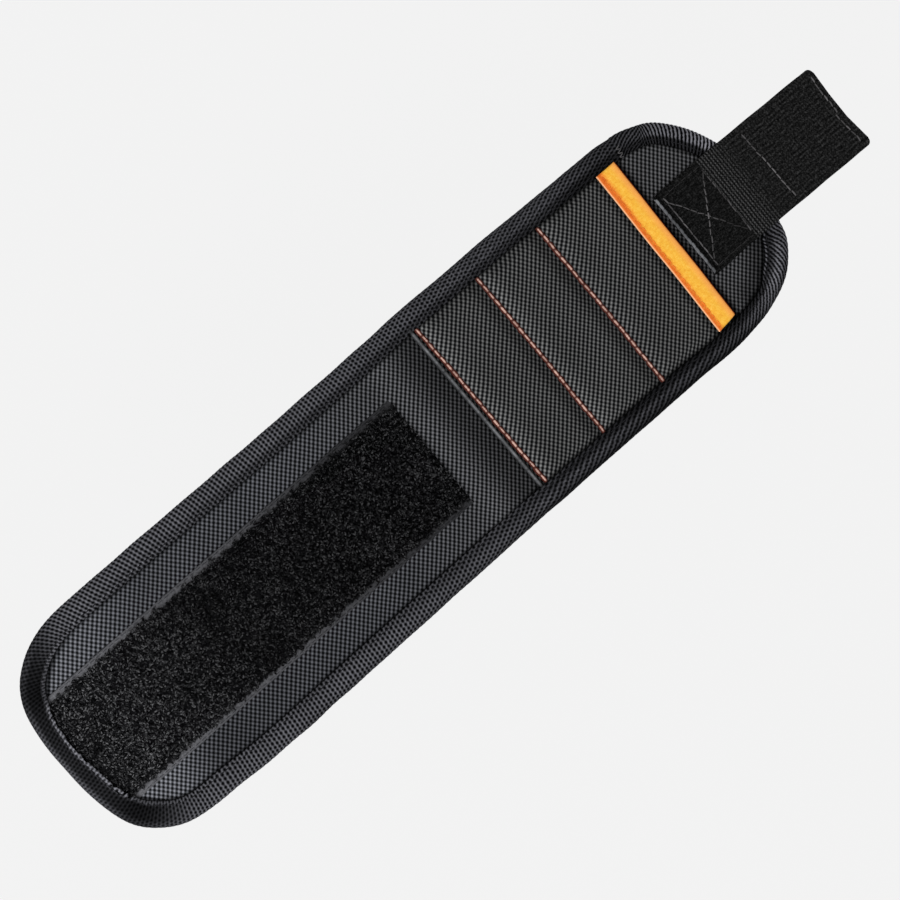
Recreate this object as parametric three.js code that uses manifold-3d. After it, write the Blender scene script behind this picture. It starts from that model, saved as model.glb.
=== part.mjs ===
// Magnetic wristband: a padded fabric band with a loop-pile fastening field, a flat pocket whose
// quilted front holds rows of disc magnets, a folded tape along the whole edge, and an elastic
// closure tab with a hook tape under it.
// Units are millimetres, +Z is the outer face, +X runs from the loop end to the tab end.
import * as THREE from "three";
import { mergeVertices } from "three/addons/utils/BufferGeometryUtils.js";
import Module from "manifold-3d";

// ---- driving dimensions -------------------------------------------------------------------
const BAND_LENGTH = 325; // loop end to head end, without the tab
const HALF_WIDTH = 45; // half of the band's 90 mm width
const LOOP_END_RUN = 39; // length over which the loop end rounds off
const LOOP_END_POWER = 2.65;
const HEAD_RUN = 41; // length over which the head end rounds off
const HEAD_POWER = 2.2;
const HEAD_SKEW = 0.05; // the head's end is sewn slightly out of square
const FOLDS = [48.3, 96.6, 144.9, 193.2, 222.0, 250.6, 287.4]; // bend lines across the band
const FOLD_GAP = 0.4; // clearance between neighbouring band segments
const LAYER_GAP = 0.3; // clearance between stacked layers

const TAPE = 0.9; // edge binding: thickness of the folded tape
const TAPE_LEG = 8.3; // edge binding: width seen on each face
const LINING = 2.6; // spacer-mesh lining, full thickness
const LINING_EDGE = 1.4; // lining pressed thin inside the binding
const SHELL = 0.8; // outer woven shell
const LOOP_TAPE = 2.0; // loop pile with its ground cloth
const LOOP_TAPE_HALF = 24; // half of the loop field's width
const LOOP_TAPE_END = 169; // where the loop field stops

const BACKING = 0.6; // inner cloth of the pocket front
const FRONT = 0.7; // outer cloth of the pocket front
const FRONT_HALF = 33; // half width of the raised, magnet-filled part
const MAGNET_D = 12; // magnets: diameter
const MAGNET_T = 2; // magnets: thickness
const MAGNET_PITCH = 13;
const MAGNETS_PER_ROW = 5;
const MAGNET_ROWS = [207.6, 236.3, 261.3];
const MOUTH_FOLD = 272; // bend line of the pocket's mouth
const TRIM_START = 278; // folded tape on the mouth's edge
const TRIM_END = 287;
const TRIM_T = 2.4;
const PANEL_HALF = 36.4; // half width between the two bindings

const STRAP = 1.2; // elastic webbing thickness
const STRAP_W = 36; // elastic webbing width
const STRAP_START = 290.4; // sewn-down end of the strap
const TAB_PIVOT = [325.7, -2.4, 5.8]; // bend line of the tab just past the band's end
const TAB_FREE = 41.4; // free length past the bend line
const TAB_YAW = THREE.MathUtils.degToRad(-1.7); // the tab is sewn slightly askew
const TAB_DROOP = THREE.MathUtils.degToRad(4.5); // its free end sinks to the surface
const HOOK = 1.6; // hook tape thickness
const HOOK_START = 5.6; // from the bend line
const HOOK_W = 33.6;

const ORIGIN_X = 183.735; // half of the whole length, so that X = 0 is the middle

// ---- levels -------------------------------------------------------------------------------
const SHELL_Z = LINING + LAYER_GAP;
const FIELD_Z = SHELL_Z + SHELL + LAYER_GAP; // what is sewn on the shell starts here
const EDGE_TOP = FIELD_Z + TAPE; // binding over the plain band
const FRONT_EDGE_Z = FIELD_Z + BACKING + LAYER_GAP; // pocket front where the binding holds it
const POCKET_EDGE_TOP = FRONT_EDGE_Z + FRONT + LAYER_GAP + TAPE; // binding beside the pocket
const MAGNET_Z = FIELD_Z + BACKING + LAYER_GAP;
const FRONT_Z = MAGNET_Z + MAGNET_T + LAYER_GAP;
const FRONT_TOP = FRONT_Z + FRONT;

// ---- solids -------------------------------------------------------------------------------
const wasm = await Module();
wasm.setup();

function toSolid(geometry) {
  const flat = geometry.index ? geometry.toNonIndexed() : geometry;
  const bare = new THREE.BufferGeometry().setAttribute("position", flat.getAttribute("position"));
  const merged = mergeVertices(bare, 1e-4);
  return new wasm.Manifold(
    new wasm.Mesh({
      numProp: 3,
      vertProperties: merged.attributes.position.array,
      triVerts: new Uint32Array(merged.index.array),
    }),
  );
}

function toGeometry(solid) {
  const mesh = solid.getMesh();
  const geometry = new THREE.BufferGeometry();
  geometry.setAttribute("position", new THREE.BufferAttribute(new Float32Array(mesh.vertProperties), 3));
  geometry.setIndex(new THREE.BufferAttribute(new Uint32Array(mesh.triVerts), 1));
  geometry.computeVertexNormals();
  return geometry;
}

function shapeOf(points) {
  return new THREE.Shape(points.map(([x, y]) => new THREE.Vector2(x, y)));
}

// A plan outline as a plate between two heights.
function plate(points, z0, z1) {
  return new THREE.ExtrudeGeometry(shapeOf(points), { depth: z1 - z0, bevelEnabled: false }).translate(0, 0, z0);
}

// A cross-section drawn in (y, z), swept along X.
function alongX(points, x0, x1) {
  const turn = new THREE.Matrix4().makeBasis(
    new THREE.Vector3(0, 1, 0),
    new THREE.Vector3(0, 0, 1),
    new THREE.Vector3(1, 0, 0),
  );
  return new THREE.ExtrudeGeometry(shapeOf(points), { depth: x1 - x0, bevelEnabled: false })
    .applyMatrix4(turn)
    .translate(x0, 0, 0);
}

// A side profile drawn in (x, z), swept along Y.
function alongY(points, y0, y1) {
  const turn = new THREE.Matrix4().makeBasis(
    new THREE.Vector3(1, 0, 0),
    new THREE.Vector3(0, 0, 1),
    new THREE.Vector3(0, -1, 0),
  );
  return new THREE.ExtrudeGeometry(shapeOf(points), { depth: y1 - y0, bevelEnabled: false })
    .applyMatrix4(turn)
    .translate(0, y1, 0);
}

function box(x0, x1, y0, y1, z0, z1) {
  return new THREE.BoxGeometry(x1 - x0, y1 - y0, z1 - z0).translate((x0 + x1) / 2, (y0 + y1) / 2, (z0 + z1) / 2);
}

// ---- the band's plan outline ---------------------------------------------------------------
function ramp(x, a, b) {
  const t = Math.min(1, Math.max(0, (x - a) / (b - a)));
  return t * t * (3 - 2 * t);
}

function bandOutline() {
  const steps = 14;
  const side = (sign) => {
    const points = [];
    for (let i = 0; i <= steps; i++) {
      const t = (Math.PI / 2) * (i / steps);
      const x = LOOP_END_RUN * (1 - Math.pow(Math.cos(t), 2 / LOOP_END_POWER));
      points.push([i === steps ? LOOP_END_RUN : x, sign * HALF_WIDTH * Math.pow(Math.sin(t), 2 / LOOP_END_POWER)]);
    }
    for (let i = 0; i <= steps; i++) {
      const t = (Math.PI / 2) * (1 - i / steps);
      const x = BAND_LENGTH - HEAD_RUN + (i === 0 ? 0 : HEAD_RUN * Math.pow(Math.cos(t), 2 / HEAD_POWER));
      const y = sign * HALF_WIDTH * Math.pow(Math.sin(t), 2 / HEAD_POWER);
      points.push([x - HEAD_SKEW * y * ramp(x, 288, 304), y]);
    }
    return points;
  };
  const lower = side(-1);
  const upper = side(1).reverse();
  return [...lower, ...upper.slice(1, -1)];
}

// The outline moved inwards by a distance.
function inset(points, distance) {
  const count = points.length;
  return points.map((p, i) => {
    const a = points[(i + count - 1) % count];
    const b = points[(i + 1) % count];
    const n1 = new THREE.Vector2(p[1] - a[1], a[0] - p[0]).normalize();
    const n2 = new THREE.Vector2(b[1] - p[1], p[0] - b[0]).normalize();
    const n = n1.clone().add(n2).normalize();
    const reach = distance / Math.max(0.5, n.dot(n1));
    return [p[0] - n.x * reach, p[1] - n.y * reach];
  });
}

// The convex outline's share where keep(x, y) = axis coordinate on one side of a value.
function cut(points, axis, value, keepBelow) {
  const inside = (p) => (keepBelow ? p[axis] <= value : p[axis] >= value);
  const kept = [];
  points.forEach((p, i) => {
    const q = points[(i + 1) % points.length];
    if (inside(p)) kept.push(p);
    if (inside(p) !== inside(q)) {
      const t = (value - p[axis]) / (q[axis] - p[axis]);
      kept.push([p[0] + (q[0] - p[0]) * t, p[1] + (q[1] - p[1]) * t]);
    }
  });
  return kept;
}

const span = (points, x0, x1) => cut(cut(points, 0, x0, false), 0, x1, true);

const EDGE = bandOutline();
const SEGMENTS = [];
for (let i = 0; i <= FOLDS.length; i++) {
  SEGMENTS.push([
    i === 0 ? -1 : FOLDS[i - 1] + FOLD_GAP / 2,
    i === FOLDS.length ? BAND_LENGTH + 5 : FOLDS[i] - FOLD_GAP / 2,
  ]);
}
const POCKET_SEGMENTS = [4, 5, 6];

// ---- materials ----------------------------------------------------------------------------
const cloth = (color, roughness = 0.9) => new THREE.MeshStandardMaterial({ color, roughness, metalness: 0 });
const materials = {
  shell: () => cloth(0x3a3b40, 0.85),
  lining: () => cloth(0x2a2b2e, 0.95),
  binding: () => cloth(0x2b2c2f, 0.8),
  loop: () => cloth(0x1b1b1e, 1),
  backing: () => cloth(0x2d2e32, 0.9),
  trim: () => cloth(0xf5a22d, 0.75),
  strap: () => cloth(0x1d1d1f, 0.9),
  hook: () => cloth(0x19191b, 0.6),
  magnet: () => new THREE.MeshStandardMaterial({ color: 0xc4c6c8, roughness: 0.3, metalness: 1 }),
};

const part = new THREE.Group();
const band = new THREE.Group();
band.position.x = -ORIGIN_X;
part.add(band);

function addPiece(name, geometry, material, parent = band) {
  const mesh = new THREE.Mesh(geometry, material);
  mesh.name = name;
  parent.add(mesh);
  return mesh;
}

// ---- band segments: lining, shell and edge binding ------------------------------------------
SEGMENTS.forEach(([x0, x1], i) => {
  const number = i + 1;
  const edgeTop = POCKET_SEGMENTS.includes(i) ? POCKET_EDGE_TOP : EDGE_TOP;

  const pad = toSolid(plate(span(inset(EDGE, TAPE_LEG + LAYER_GAP), x0, x1), 0, LINING));
  const flange = toSolid(plate(span(inset(EDGE, TAPE + LAYER_GAP), x0, x1), LINING - LINING_EDGE, LINING));
  addPiece(`lining_${number}`, toGeometry(pad.add(flange)), materials.lining());

  addPiece(`shell_${number}`, plate(span(inset(EDGE, TAPE + LAYER_GAP), x0, x1), SHELL_Z, SHELL_Z + SHELL), materials.shell());

  if (i === 0 || i === FOLDS.length) {
    // The tape runs round the end in one piece: a plan ring, hollowed between its two legs.
    const body = toSolid(plate(span(EDGE, x0, x1), 0, edgeTop));
    const past = 3;
    const gap = toSolid(plate(span(inset(EDGE, TAPE), x0 - past, x1 + past), TAPE, edgeTop - TAPE));
    const hole = toSolid(plate(span(inset(EDGE, TAPE_LEG), x0 - past, x1 + past), -1, edgeTop + 1));
    addPiece(i === 0 ? "binding_loop_end" : "binding_head_end", toGeometry(body.subtract(gap).subtract(hole)), materials.binding());
  } else {
    for (const [side, s] of [["left", 1], ["right", -1]]) {
      const outer = HALF_WIDTH;
      const section = [
        [outer - TAPE_LEG, 0],
        [outer, 0],
        [outer, edgeTop],
        [outer - TAPE_LEG, edgeTop],
        [outer - TAPE_LEG, edgeTop - TAPE],
        [outer - TAPE, edgeTop - TAPE],
        [outer - TAPE, TAPE],
        [outer - TAPE_LEG, TAPE],
      ].map(([y, z]) => [s * y, z]);
      addPiece(`binding_${side}_${number}`, alongX(section, x0, x1), materials.binding());
    }
  }
});

// ---- loop-pile field ------------------------------------------------------------------------
const loopField = cut(
  cut(inset(EDGE, TAPE_LEG + LAYER_GAP), 1, LOOP_TAPE_HALF, true),
  1,
  -LOOP_TAPE_HALF,
  false,
);
for (let i = 0; i < 4; i++) {
  const [x0, x1] = SEGMENTS[i];
  addPiece(`loop_tape_${i + 1}`, plate(span(loopField, x0, Math.min(x1, LOOP_TAPE_END)), FIELD_Z, FIELD_Z + LOOP_TAPE), materials.loop());
}

// ---- pocket: backing, magnets, quilted front, mouth and trim --------------------------------
const heldHalf = HALF_WIDTH - TAPE - LAYER_GAP;
POCKET_SEGMENTS.forEach((segment, row) => {
  const [x0, whole] = SEGMENTS[segment];
  const x1 = Math.min(whole, MOUTH_FOLD - FOLD_GAP / 2);
  addPiece(`pocket_backing_${row + 1}`, box(x0, x1, -heldHalf, heldHalf, FIELD_Z, FIELD_Z + BACKING), materials.backing());

  const half = [
    [heldHalf, FRONT_EDGE_Z],
    [heldHalf, FRONT_EDGE_Z + FRONT],
    [PANEL_HALF, FRONT_EDGE_Z + FRONT],
    [FRONT_HALF, FRONT_TOP],
  ];
  const under = [
    [FRONT_HALF - 0.4, FRONT_Z],
    [PANEL_HALF - 0.4, FRONT_EDGE_Z],
  ];
  const mirror = (points) => points.map(([y, z]) => [-y, z]).reverse();
  const section = [...half, ...mirror(half), ...mirror(under), ...under];
  addPiece(`pocket_front_${row + 1}`, alongX(section, x0, x1), materials.shell());

  for (let m = 0; m < MAGNETS_PER_ROW; m++) {
    const y = (m - (MAGNETS_PER_ROW - 1) / 2) * MAGNET_PITCH;
    const disc = new THREE.CylinderGeometry(MAGNET_D / 2, MAGNET_D / 2, MAGNET_T, 20).rotateX(Math.PI / 2);
    addPiece(`magnet_${row + 1}_${m + 1}`, disc, materials.magnet()).position.set(MAGNET_ROWS[row], y, MAGNET_Z + MAGNET_T / 2);
  }
});

const mouthEnd = TRIM_START - FOLD_GAP;
const TRIM_Z = FIELD_Z + 0.2;
addPiece(
  "pocket_mouth_panel",
  alongY(
    [
      [MOUTH_FOLD + FOLD_GAP / 2, FRONT_Z],
      [mouthEnd, TRIM_Z + 0.9],
      [mouthEnd, TRIM_Z + 0.9 + FRONT],
      [MOUTH_FOLD + FOLD_GAP / 2, FRONT_TOP],
    ],
    -PANEL_HALF,
    PANEL_HALF,
  ),
  materials.shell(),
);
addPiece("pocket_trim", box(TRIM_START, TRIM_END, -PANEL_HALF, PANEL_HALF, TRIM_Z, TRIM_Z + TRIM_T), materials.trim());

// ---- closure tab ------------------------------------------------------------------------------
// The webbing is sewn flat on the head, climbs over the end binding and bends past it.
const tab = new THREE.Group();
tab.position.set(...TAB_PIVOT);
tab.rotation.z = TAB_YAW;
band.add(tab);
const overEdge = EDGE_TOP + LAYER_GAP - TAB_PIVOT[2];
const onShell = FIELD_Z - TAB_PIVOT[2];
const startX = STRAP_START - TAB_PIVOT[0];
addPiece(
  "tab_strap_anchor",
  alongY(
    [
      [startX, onShell],
      [-18.4, onShell],
      [-13.4, overEdge],
      [-1.1, overEdge],
      [-1.1, overEdge + STRAP],
      [-13.9, overEdge + STRAP],
      [-18.9, onShell + STRAP],
      [startX, onShell + STRAP],
    ],
    -STRAP_W / 2,
    STRAP_W / 2,
  ),
  materials.strap(),
  tab,
);

const free = new THREE.Group();
free.rotation.y = TAB_DROOP;
tab.add(free);
const corner = 2.2;
const w = STRAP_W / 2;
addPiece(
  "tab_strap_free",
  plate(
    [
      [1.1, -w],
      [TAB_FREE - corner, -w],
      [TAB_FREE - corner * 0.3, -w + corner * 0.3],
      [TAB_FREE, -w + corner],
      [TAB_FREE, w - corner],
      [TAB_FREE - corner * 0.3, w - corner * 0.3],
      [TAB_FREE - corner, w],
      [1.1, w],
    ],
    -STRAP / 2,
    STRAP / 2,
  ),
  materials.strap(),
  free,
);
addPiece(
  "tab_hook_tape",
  box(HOOK_START, TAB_FREE - 1.2, -HOOK_W / 2, HOOK_W / 2, -STRAP / 2 - LAYER_GAP - HOOK, -STRAP / 2 - LAYER_GAP),
  materials.hook(),
  free,
);

export default part;
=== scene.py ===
"""Looks of the magnetic wristband: a padded fabric band with a loop-pile field, a quilted magnet
pocket with an orange trim, a folded edge binding and an elastic closure tab.

Lengths are written in millimetres in band coordinates (x from the loop end, y across, z up from the
lining) and are turned into the frame's metres when a mesh is made."""

import math

import bpy
import numpy as np
from mathutils import Matrix, Vector


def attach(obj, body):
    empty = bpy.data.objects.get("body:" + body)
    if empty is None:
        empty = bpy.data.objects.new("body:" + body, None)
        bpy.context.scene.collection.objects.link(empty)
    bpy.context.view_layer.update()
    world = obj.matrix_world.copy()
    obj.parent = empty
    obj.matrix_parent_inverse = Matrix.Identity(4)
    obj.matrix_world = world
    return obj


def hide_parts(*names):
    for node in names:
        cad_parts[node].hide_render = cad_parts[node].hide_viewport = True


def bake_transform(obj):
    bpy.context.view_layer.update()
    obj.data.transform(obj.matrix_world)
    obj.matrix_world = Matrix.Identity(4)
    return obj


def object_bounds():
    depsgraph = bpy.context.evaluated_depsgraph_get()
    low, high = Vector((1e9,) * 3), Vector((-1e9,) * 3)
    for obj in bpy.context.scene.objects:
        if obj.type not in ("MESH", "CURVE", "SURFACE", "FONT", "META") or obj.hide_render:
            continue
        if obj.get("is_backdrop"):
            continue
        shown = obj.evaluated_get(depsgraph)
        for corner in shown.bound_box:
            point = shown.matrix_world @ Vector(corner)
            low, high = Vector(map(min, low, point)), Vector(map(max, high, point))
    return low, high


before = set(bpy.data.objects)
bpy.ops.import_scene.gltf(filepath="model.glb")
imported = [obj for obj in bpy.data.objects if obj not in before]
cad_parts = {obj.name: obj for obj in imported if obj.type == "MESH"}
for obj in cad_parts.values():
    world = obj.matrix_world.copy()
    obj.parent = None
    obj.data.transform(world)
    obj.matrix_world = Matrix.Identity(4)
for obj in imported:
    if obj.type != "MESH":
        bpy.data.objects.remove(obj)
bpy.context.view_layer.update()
scene = bpy.context.scene

# ---- dimensions shared with the construction -------------------------------------------------
ORIGIN_X = 183.735
BAND_LENGTH, HALF_WIDTH = 325.0, 45.0
LOOP_END_RUN, LOOP_END_POWER = 39.0, 2.65
HEAD_RUN, HEAD_POWER, HEAD_SKEW = 41.0, 2.2, 0.065
CUTS = [-5.0, 72.45, 120.75, 169.05, 207.6, 236.3, 269.0, 400.0]  # where the cloth pieces meet
# Each fold of the band: its crease, and how far before and after it the cloth takes part in the turn.
FOLDS = [(48.3, 30.0, 24.15), (96.6, 24.15, 24.15), (144.9, 24.15, 24.15), (193.2, 24.15, 14.4), (222.0, 14.4, 14.3), (250.6, 14.3, 15.4), (287.4, 0.0, 25.0)]
SHELL_TOP, SHELL_T = 3.7, 0.75
FIELD_END, FIELD_HALF = 169.0, 24.0
PANEL_HALF = 36.6
SEAMS = [(193.37, -0.0163), (221.38, -0.0075), (249.88, -0.0137)]  # x at the middle and the lean of each sewn row
PANEL_EDGE = (190.5, -0.0124)
MOUTH = (266.0, 279.0)
TRIM = (277.8, 286.7)
TRIM_ENDS = (-36.9, 35.7)
STRAP_W, STRAP_T = 36.5, 1.2
TAB_PIVOT = np.array([325.7, -2.4, 5.8])
TAB_YAW, TAB_DROOP, TAB_FREE = math.radians(-1.7), math.radians(4.5), 41.9
UP = np.array([0.0, 0.0, 1.0])


def smooth(a, b, x):
    t = np.clip((np.asarray(x, float) - a) / (b - a), 0, 1)
    return t * t * (3 - 2 * t)


def hump(x, at, width):
    return np.exp(-(((np.asarray(x, float) - at) / width) ** 2))


def ripple(x, y, seed, wave, count=14):
    """Even, seeded unevenness of about unit size, with features of about that wavelength."""
    rng = np.random.default_rng(seed)
    total = 0.0
    for _ in range(count):
        a, k, p = rng.uniform(0, 2 * np.pi), 2 * np.pi / wave * rng.uniform(0.6, 1.5), rng.uniform(0, 2 * np.pi)
        total = total + np.cos(k * (np.cos(a) * x + np.sin(a) * y) + p)
    return total / math.sqrt(count / 2)


def spline(points, count):
    """A smooth line through points, evenly spaced."""
    p = np.array(points, float)
    p = np.vstack([2 * p[0] - p[1], p, 2 * p[-1] - p[-2]])
    out = []
    for i in range(1, len(p) - 2):
        t = np.linspace(0, 1, 24, endpoint=False)[:, None]
        a, b, c, d = p[i - 1 : i + 3]
        out.append(0.5 * (2 * b + (c - a) * t + (2 * a - 5 * b + 4 * c - d) * t**2 + (3 * b - a - 3 * c + d) * t**3))
    out = np.vstack(out + [p[-2:-1]])
    s = np.concatenate([[0], np.cumsum(np.linalg.norm(np.diff(out, axis=0), axis=1))])
    e = np.linspace(0, s[-1], count)
    return np.stack([np.interp(e, s, out[:, k]) for k in range(out.shape[1])], 1)


def lengths(p):
    return np.concatenate([[0], np.cumsum(np.linalg.norm(np.diff(p, axis=0), axis=1))])


# ---- mesh making ------------------------------------------------------------------------------
def volume(verts, polys):
    total = 0.0
    for p in polys:
        p = np.atleast_2d(p)
        a = verts[p[:, 0]]
        for k in range(1, p.shape[1] - 1):
            total += np.einsum("ij,ij->i", a, np.cross(verts[p[:, k]], verts[p[:, k + 1]])).sum()
    return total


def make(name, verts, polys, uv, tone, material, sharp=42.0, ply=None):
    """One object from points in band millimetres, groups of faces, cloth coordinates in millimetres and a tone."""
    verts = np.asarray(verts, float).reshape(-1, 3)
    polys = [np.atleast_2d(np.asarray(p)) for p in polys]
    if volume(verts, polys) < 0:
        polys = [p[:, ::-1] for p in polys]
    me = bpy.data.meshes.new(name)
    co = verts.copy()
    co[:, 0] -= ORIGIN_X
    me.vertices.add(len(co))
    me.vertices.foreach_set("co", (co * 0.001).astype(np.float32).ravel())
    loops = np.concatenate([p.ravel() for p in polys]).astype(np.int32)
    totals = np.concatenate([np.full(len(p), p.shape[1]) for p in polys])
    starts = np.concatenate([[0], np.cumsum(totals)[:-1]]).astype(np.int32)
    me.loops.add(len(loops))
    me.loops.foreach_set("vertex_index", loops)
    me.polygons.add(len(totals))
    me.polygons.foreach_set("loop_start", starts)
    me.update(calc_edges=True)
    me.polygons.foreach_set("use_smooth", np.ones(len(totals), bool))
    layer = me.uv_layers.new(name="cloth")
    layer.data.foreach_set("uv", np.asarray(uv, float).reshape(-1, 2)[loops].astype(np.float32).ravel())
    shade = me.attributes.new("tone", "FLOAT", "POINT")
    shade.data.foreach_set("value", (np.zeros(len(co)) + np.asarray(tone, float).ravel()).astype(np.float32))
    if ply is not None:
        share = me.attributes.new("ply", "FLOAT_VECTOR", "POINT")
        share.data.foreach_set("vector", np.asarray(ply, float).reshape(-1, 3).astype(np.float32).ravel())
    me.materials.append(material)
    me.update()
    me.set_sharp_from_angle(angle=math.radians(sharp))
    ob = bpy.data.objects.new(name, me)
    scene.collection.objects.link(ob)
    return ob


def sweep(name, loops, uv, tone, material, sharp=42.0, ply=None):
    """A closed body from a row of closed cross-sections, shape (sections, points, 3)."""
    n, m = loops.shape[:2]
    at = np.arange(n * m).reshape(n, m)
    a, b = at[:-1], at[1:]
    quads = np.stack([a, np.roll(a, -1, 1), np.roll(b, -1, 1), b], -1).reshape(-1, 4)
    return make(name, loops.reshape(-1, 3), [quads, at[0][::-1][None], at[-1][None]], uv.reshape(-1, 2), np.broadcast_to(tone, (n, m)), material, sharp, ply)


def tubes(paths, radii, sides, ref):
    """Points and faces of many closed threads: paths (k, m, 3), radii (k, m) or (k, m, 2) for width and height, ref (k, 3) or (k, m, 3)."""
    k, m = paths.shape[:2]
    t = np.gradient(paths, axis=1)
    t /= np.linalg.norm(t, axis=2, keepdims=True) + 1e-12
    ref = np.asarray(ref, float)
    ref = np.broadcast_to(ref[:, None] if ref.ndim == 2 else ref, paths.shape)
    side = np.cross(t, ref)
    side /= np.linalg.norm(side, axis=2, keepdims=True) + 1e-12
    up = np.cross(side, t)
    r = np.asarray(radii, float)
    r = np.stack([r, r], -1) if r.ndim == 2 else r
    a = np.arange(sides) * 2 * np.pi / sides
    verts = paths[:, :, None] + side[:, :, None] * (r[:, :, None, :1] * np.cos(a)[None, None, :, None]) + up[:, :, None] * (r[:, :, None, 1:] * np.sin(a)[None, None, :, None])
    at = np.arange(k * m * sides).reshape(k, m, sides)
    p, q = at[:, :-1], at[:, 1:]
    quads = np.stack([p, np.roll(p, -1, 2), np.roll(q, -1, 2), q], -1).reshape(-1, 4)
    return verts, [quads, at[:, 0, ::-1].reshape(-1, sides), at[:, -1].reshape(-1, sides)], a


def weigh(ob, w):
    """Bakes the piece's placement into its mesh; w, one weight per vertex, is not used."""
    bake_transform(ob)
    return ob


def band_x(ob):
    co = np.zeros(len(ob.data.vertices) * 3, np.float32)
    ob.data.vertices.foreach_get("co", co)
    co = co.reshape(-1, 3).astype(float) * 1000
    co[:, 0] += ORIGIN_X
    return co


def turned(d, reach):
    """How much of the turn is made at a distance past the crease: most of it at once, and the rest by and by."""
    share = 0.23
    tight = share * reach
    d = np.clip(d, 1e-6, reach)
    lag = np.where(d < tight, d - (1 + share) / tight * d**2 / 2, share / (reach - tight) * (reach - d) ** 2 / 2)
    return 1 - lag / d


def bend(ob, i):
    """Works out weights for a piece of band i from the fold that it crosses, and passes them to weigh."""
    crease, before, after = FOLDS[i]
    d = band_x(ob)[:, 0] - crease
    if before:
        w = np.where(d < 0, 0.5 - 0.5 * turned(-d, before), 0.5 + 0.5 * turned(d, after))
    else:
        w = np.where(d < 0, 0.0, turned(d, after))
    return weigh(ob, w)


def mouth_weight(p):
    """Weights for the mouth: rising towards its edge and greatest in the middle, nothing at both sewn sides."""
    across = np.clip(1 - (p[:, 1] / PANEL_HALF) ** 2, 0, 1)
    return smooth(MOUTH[0], MOUTH[1], p[:, 0]) * across**0.8


# ---- materials --------------------------------------------------------------------------------
class Look:
    """A node material with a Principled shader that reads the cloth coordinates."""

    def __init__(self, name, roughness=0.9, specular=0.1):
        self.mat = bpy.data.materials.new(name)
        self.mat.use_nodes = True
        self.tree = self.mat.node_tree
        self.tree.nodes.clear()
        self.out = self.node("ShaderNodeOutputMaterial")
        self.shader = self.node("ShaderNodeBsdfPrincipled")
        self.tree.links.new(self.shader.outputs[0], self.out.inputs[0])
        self.set("Roughness", roughness)
        self.set("Specular IOR Level", specular)

    def node(self, kind, **facts):
        n = self.tree.nodes.new(kind)
        for k, v in facts.items():
            setattr(n, k, v)
        return n

    def set(self, socket, value):
        if hasattr(value, "is_output"):
            self.tree.links.new(value, self.shader.inputs[socket])
        else:
            self.shader.inputs[socket].default_value = value

    def put(self, socket, value):
        if hasattr(value, "is_output"):
            self.tree.links.new(value, socket)
        else:
            socket.default_value = value

    def math(self, op, *values, clamp=False):
        n = self.node("ShaderNodeMath", operation=op, use_clamp=clamp)
        for i, v in enumerate(values):
            self.put(n.inputs[i], v)
        return n.outputs[0]

    def add(self, *v):
        total = v[0]
        for x in v[1:]:
            total = self.math("ADD", total, x)
        return total

    def mul(self, *v):
        total = v[0]
        for x in v[1:]:
            total = self.math("MULTIPLY", total, x)
        return total

    def split(self, vector):
        s = self.node("ShaderNodeSeparateXYZ")
        self.tree.links.new(vector, s.inputs[0])
        return s.outputs

    def uv(self):
        n = self.node("ShaderNodeUVMap", uv_map="cloth")
        s = self.split(n.outputs[0])
        return n.outputs[0], s[0], s[1]

    def vector(self, x, y, z=0.0):
        n = self.node("ShaderNodeCombineXYZ")
        for i, v in enumerate((x, y, z)):
            self.put(n.inputs[i], v)
        return n.outputs[0]

    def noise(self, vector, scale, detail=2.0, rough=0.5):
        n = self.node("ShaderNodeTexNoise")
        self.put(n.inputs["Vector"], vector)
        n.inputs["Scale"].default_value = scale
        n.inputs["Detail"].default_value = detail
        n.inputs["Roughness"].default_value = rough
        return n.outputs[0]

    def swing(self, x, size):
        """A noise value, 0 to 1, as a number about zero of that size."""
        return self.math("MULTIPLY_ADD", x, size, -size / 2)

    def wave(self, u, v, fu, fv, phase=0.0):
        """cos of the phase of a plain wave with fu, fv cycles per millimetre."""
        a = self.math("MULTIPLY_ADD", u, 2 * math.pi * fu, phase)
        return self.math("COSINE", self.math("MULTIPLY_ADD", v, 2 * math.pi * fv, a))

    def ramp(self, x, stops):
        n = self.node("ShaderNodeValToRGB")
        while len(n.color_ramp.elements) < len(stops):
            n.color_ramp.elements.new(0.5)
        for e, (at, colour) in zip(n.color_ramp.elements, stops):
            e.position = at
            e.color = (*colour, 1.0)
        self.put(n.inputs[0], x)
        return n.outputs[0]

    def mix(self, fac, a, b, kind="MIX"):
        n = self.node("ShaderNodeMix", data_type="RGBA", blend_type=kind)
        self.put(n.inputs[0], fac)
        for s, v in ((6, a), (7, b)):
            self.put(n.inputs[s], v if hasattr(v, "is_output") else (*v, 1.0))
        return n.outputs[2]

    def tone(self):
        return self.node("ShaderNodeAttribute", attribute_name="tone").outputs["Fac"]

    def scale(self, colour, factor):
        """colour times a number."""
        n = self.node("ShaderNodeVectorMath", operation="SCALE")
        self.put(n.inputs[0], colour)
        self.put(n.inputs["Scale"], factor)
        return n.outputs[0]

    def bump(self, height, distance, strength=1.0):
        n = self.node("ShaderNodeBump")
        n.inputs["Strength"].default_value = strength
        n.inputs["Distance"].default_value = distance
        self.put(n.inputs["Height"], height)
        self.set("Normal", n.outputs[0])

    def span(self, x, low, high, to_low=0.0, to_high=1.0):
        n = self.node("ShaderNodeMapRange", interpolation_type="SMOOTHSTEP")
        self.put(n.inputs[0], x)
        for i, v in enumerate((low, high, to_low, to_high)):
            n.inputs[1 + i].default_value = v
        return n.outputs[0]


def srgb(r, g, b, k=1.0):
    f = lambda c: c / 12.92 if c <= 0.04045 else ((c + 0.055) / 1.055) ** 2.4
    return tuple(f(x / 255) * k for x in (r, g, b))


# The shell's weave: two crossing rows of yarn crowns, as cycles per millimetre of the cloth coordinates.
WEAVE = ((0.470, -0.433), (0.535, 0.438))


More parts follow.
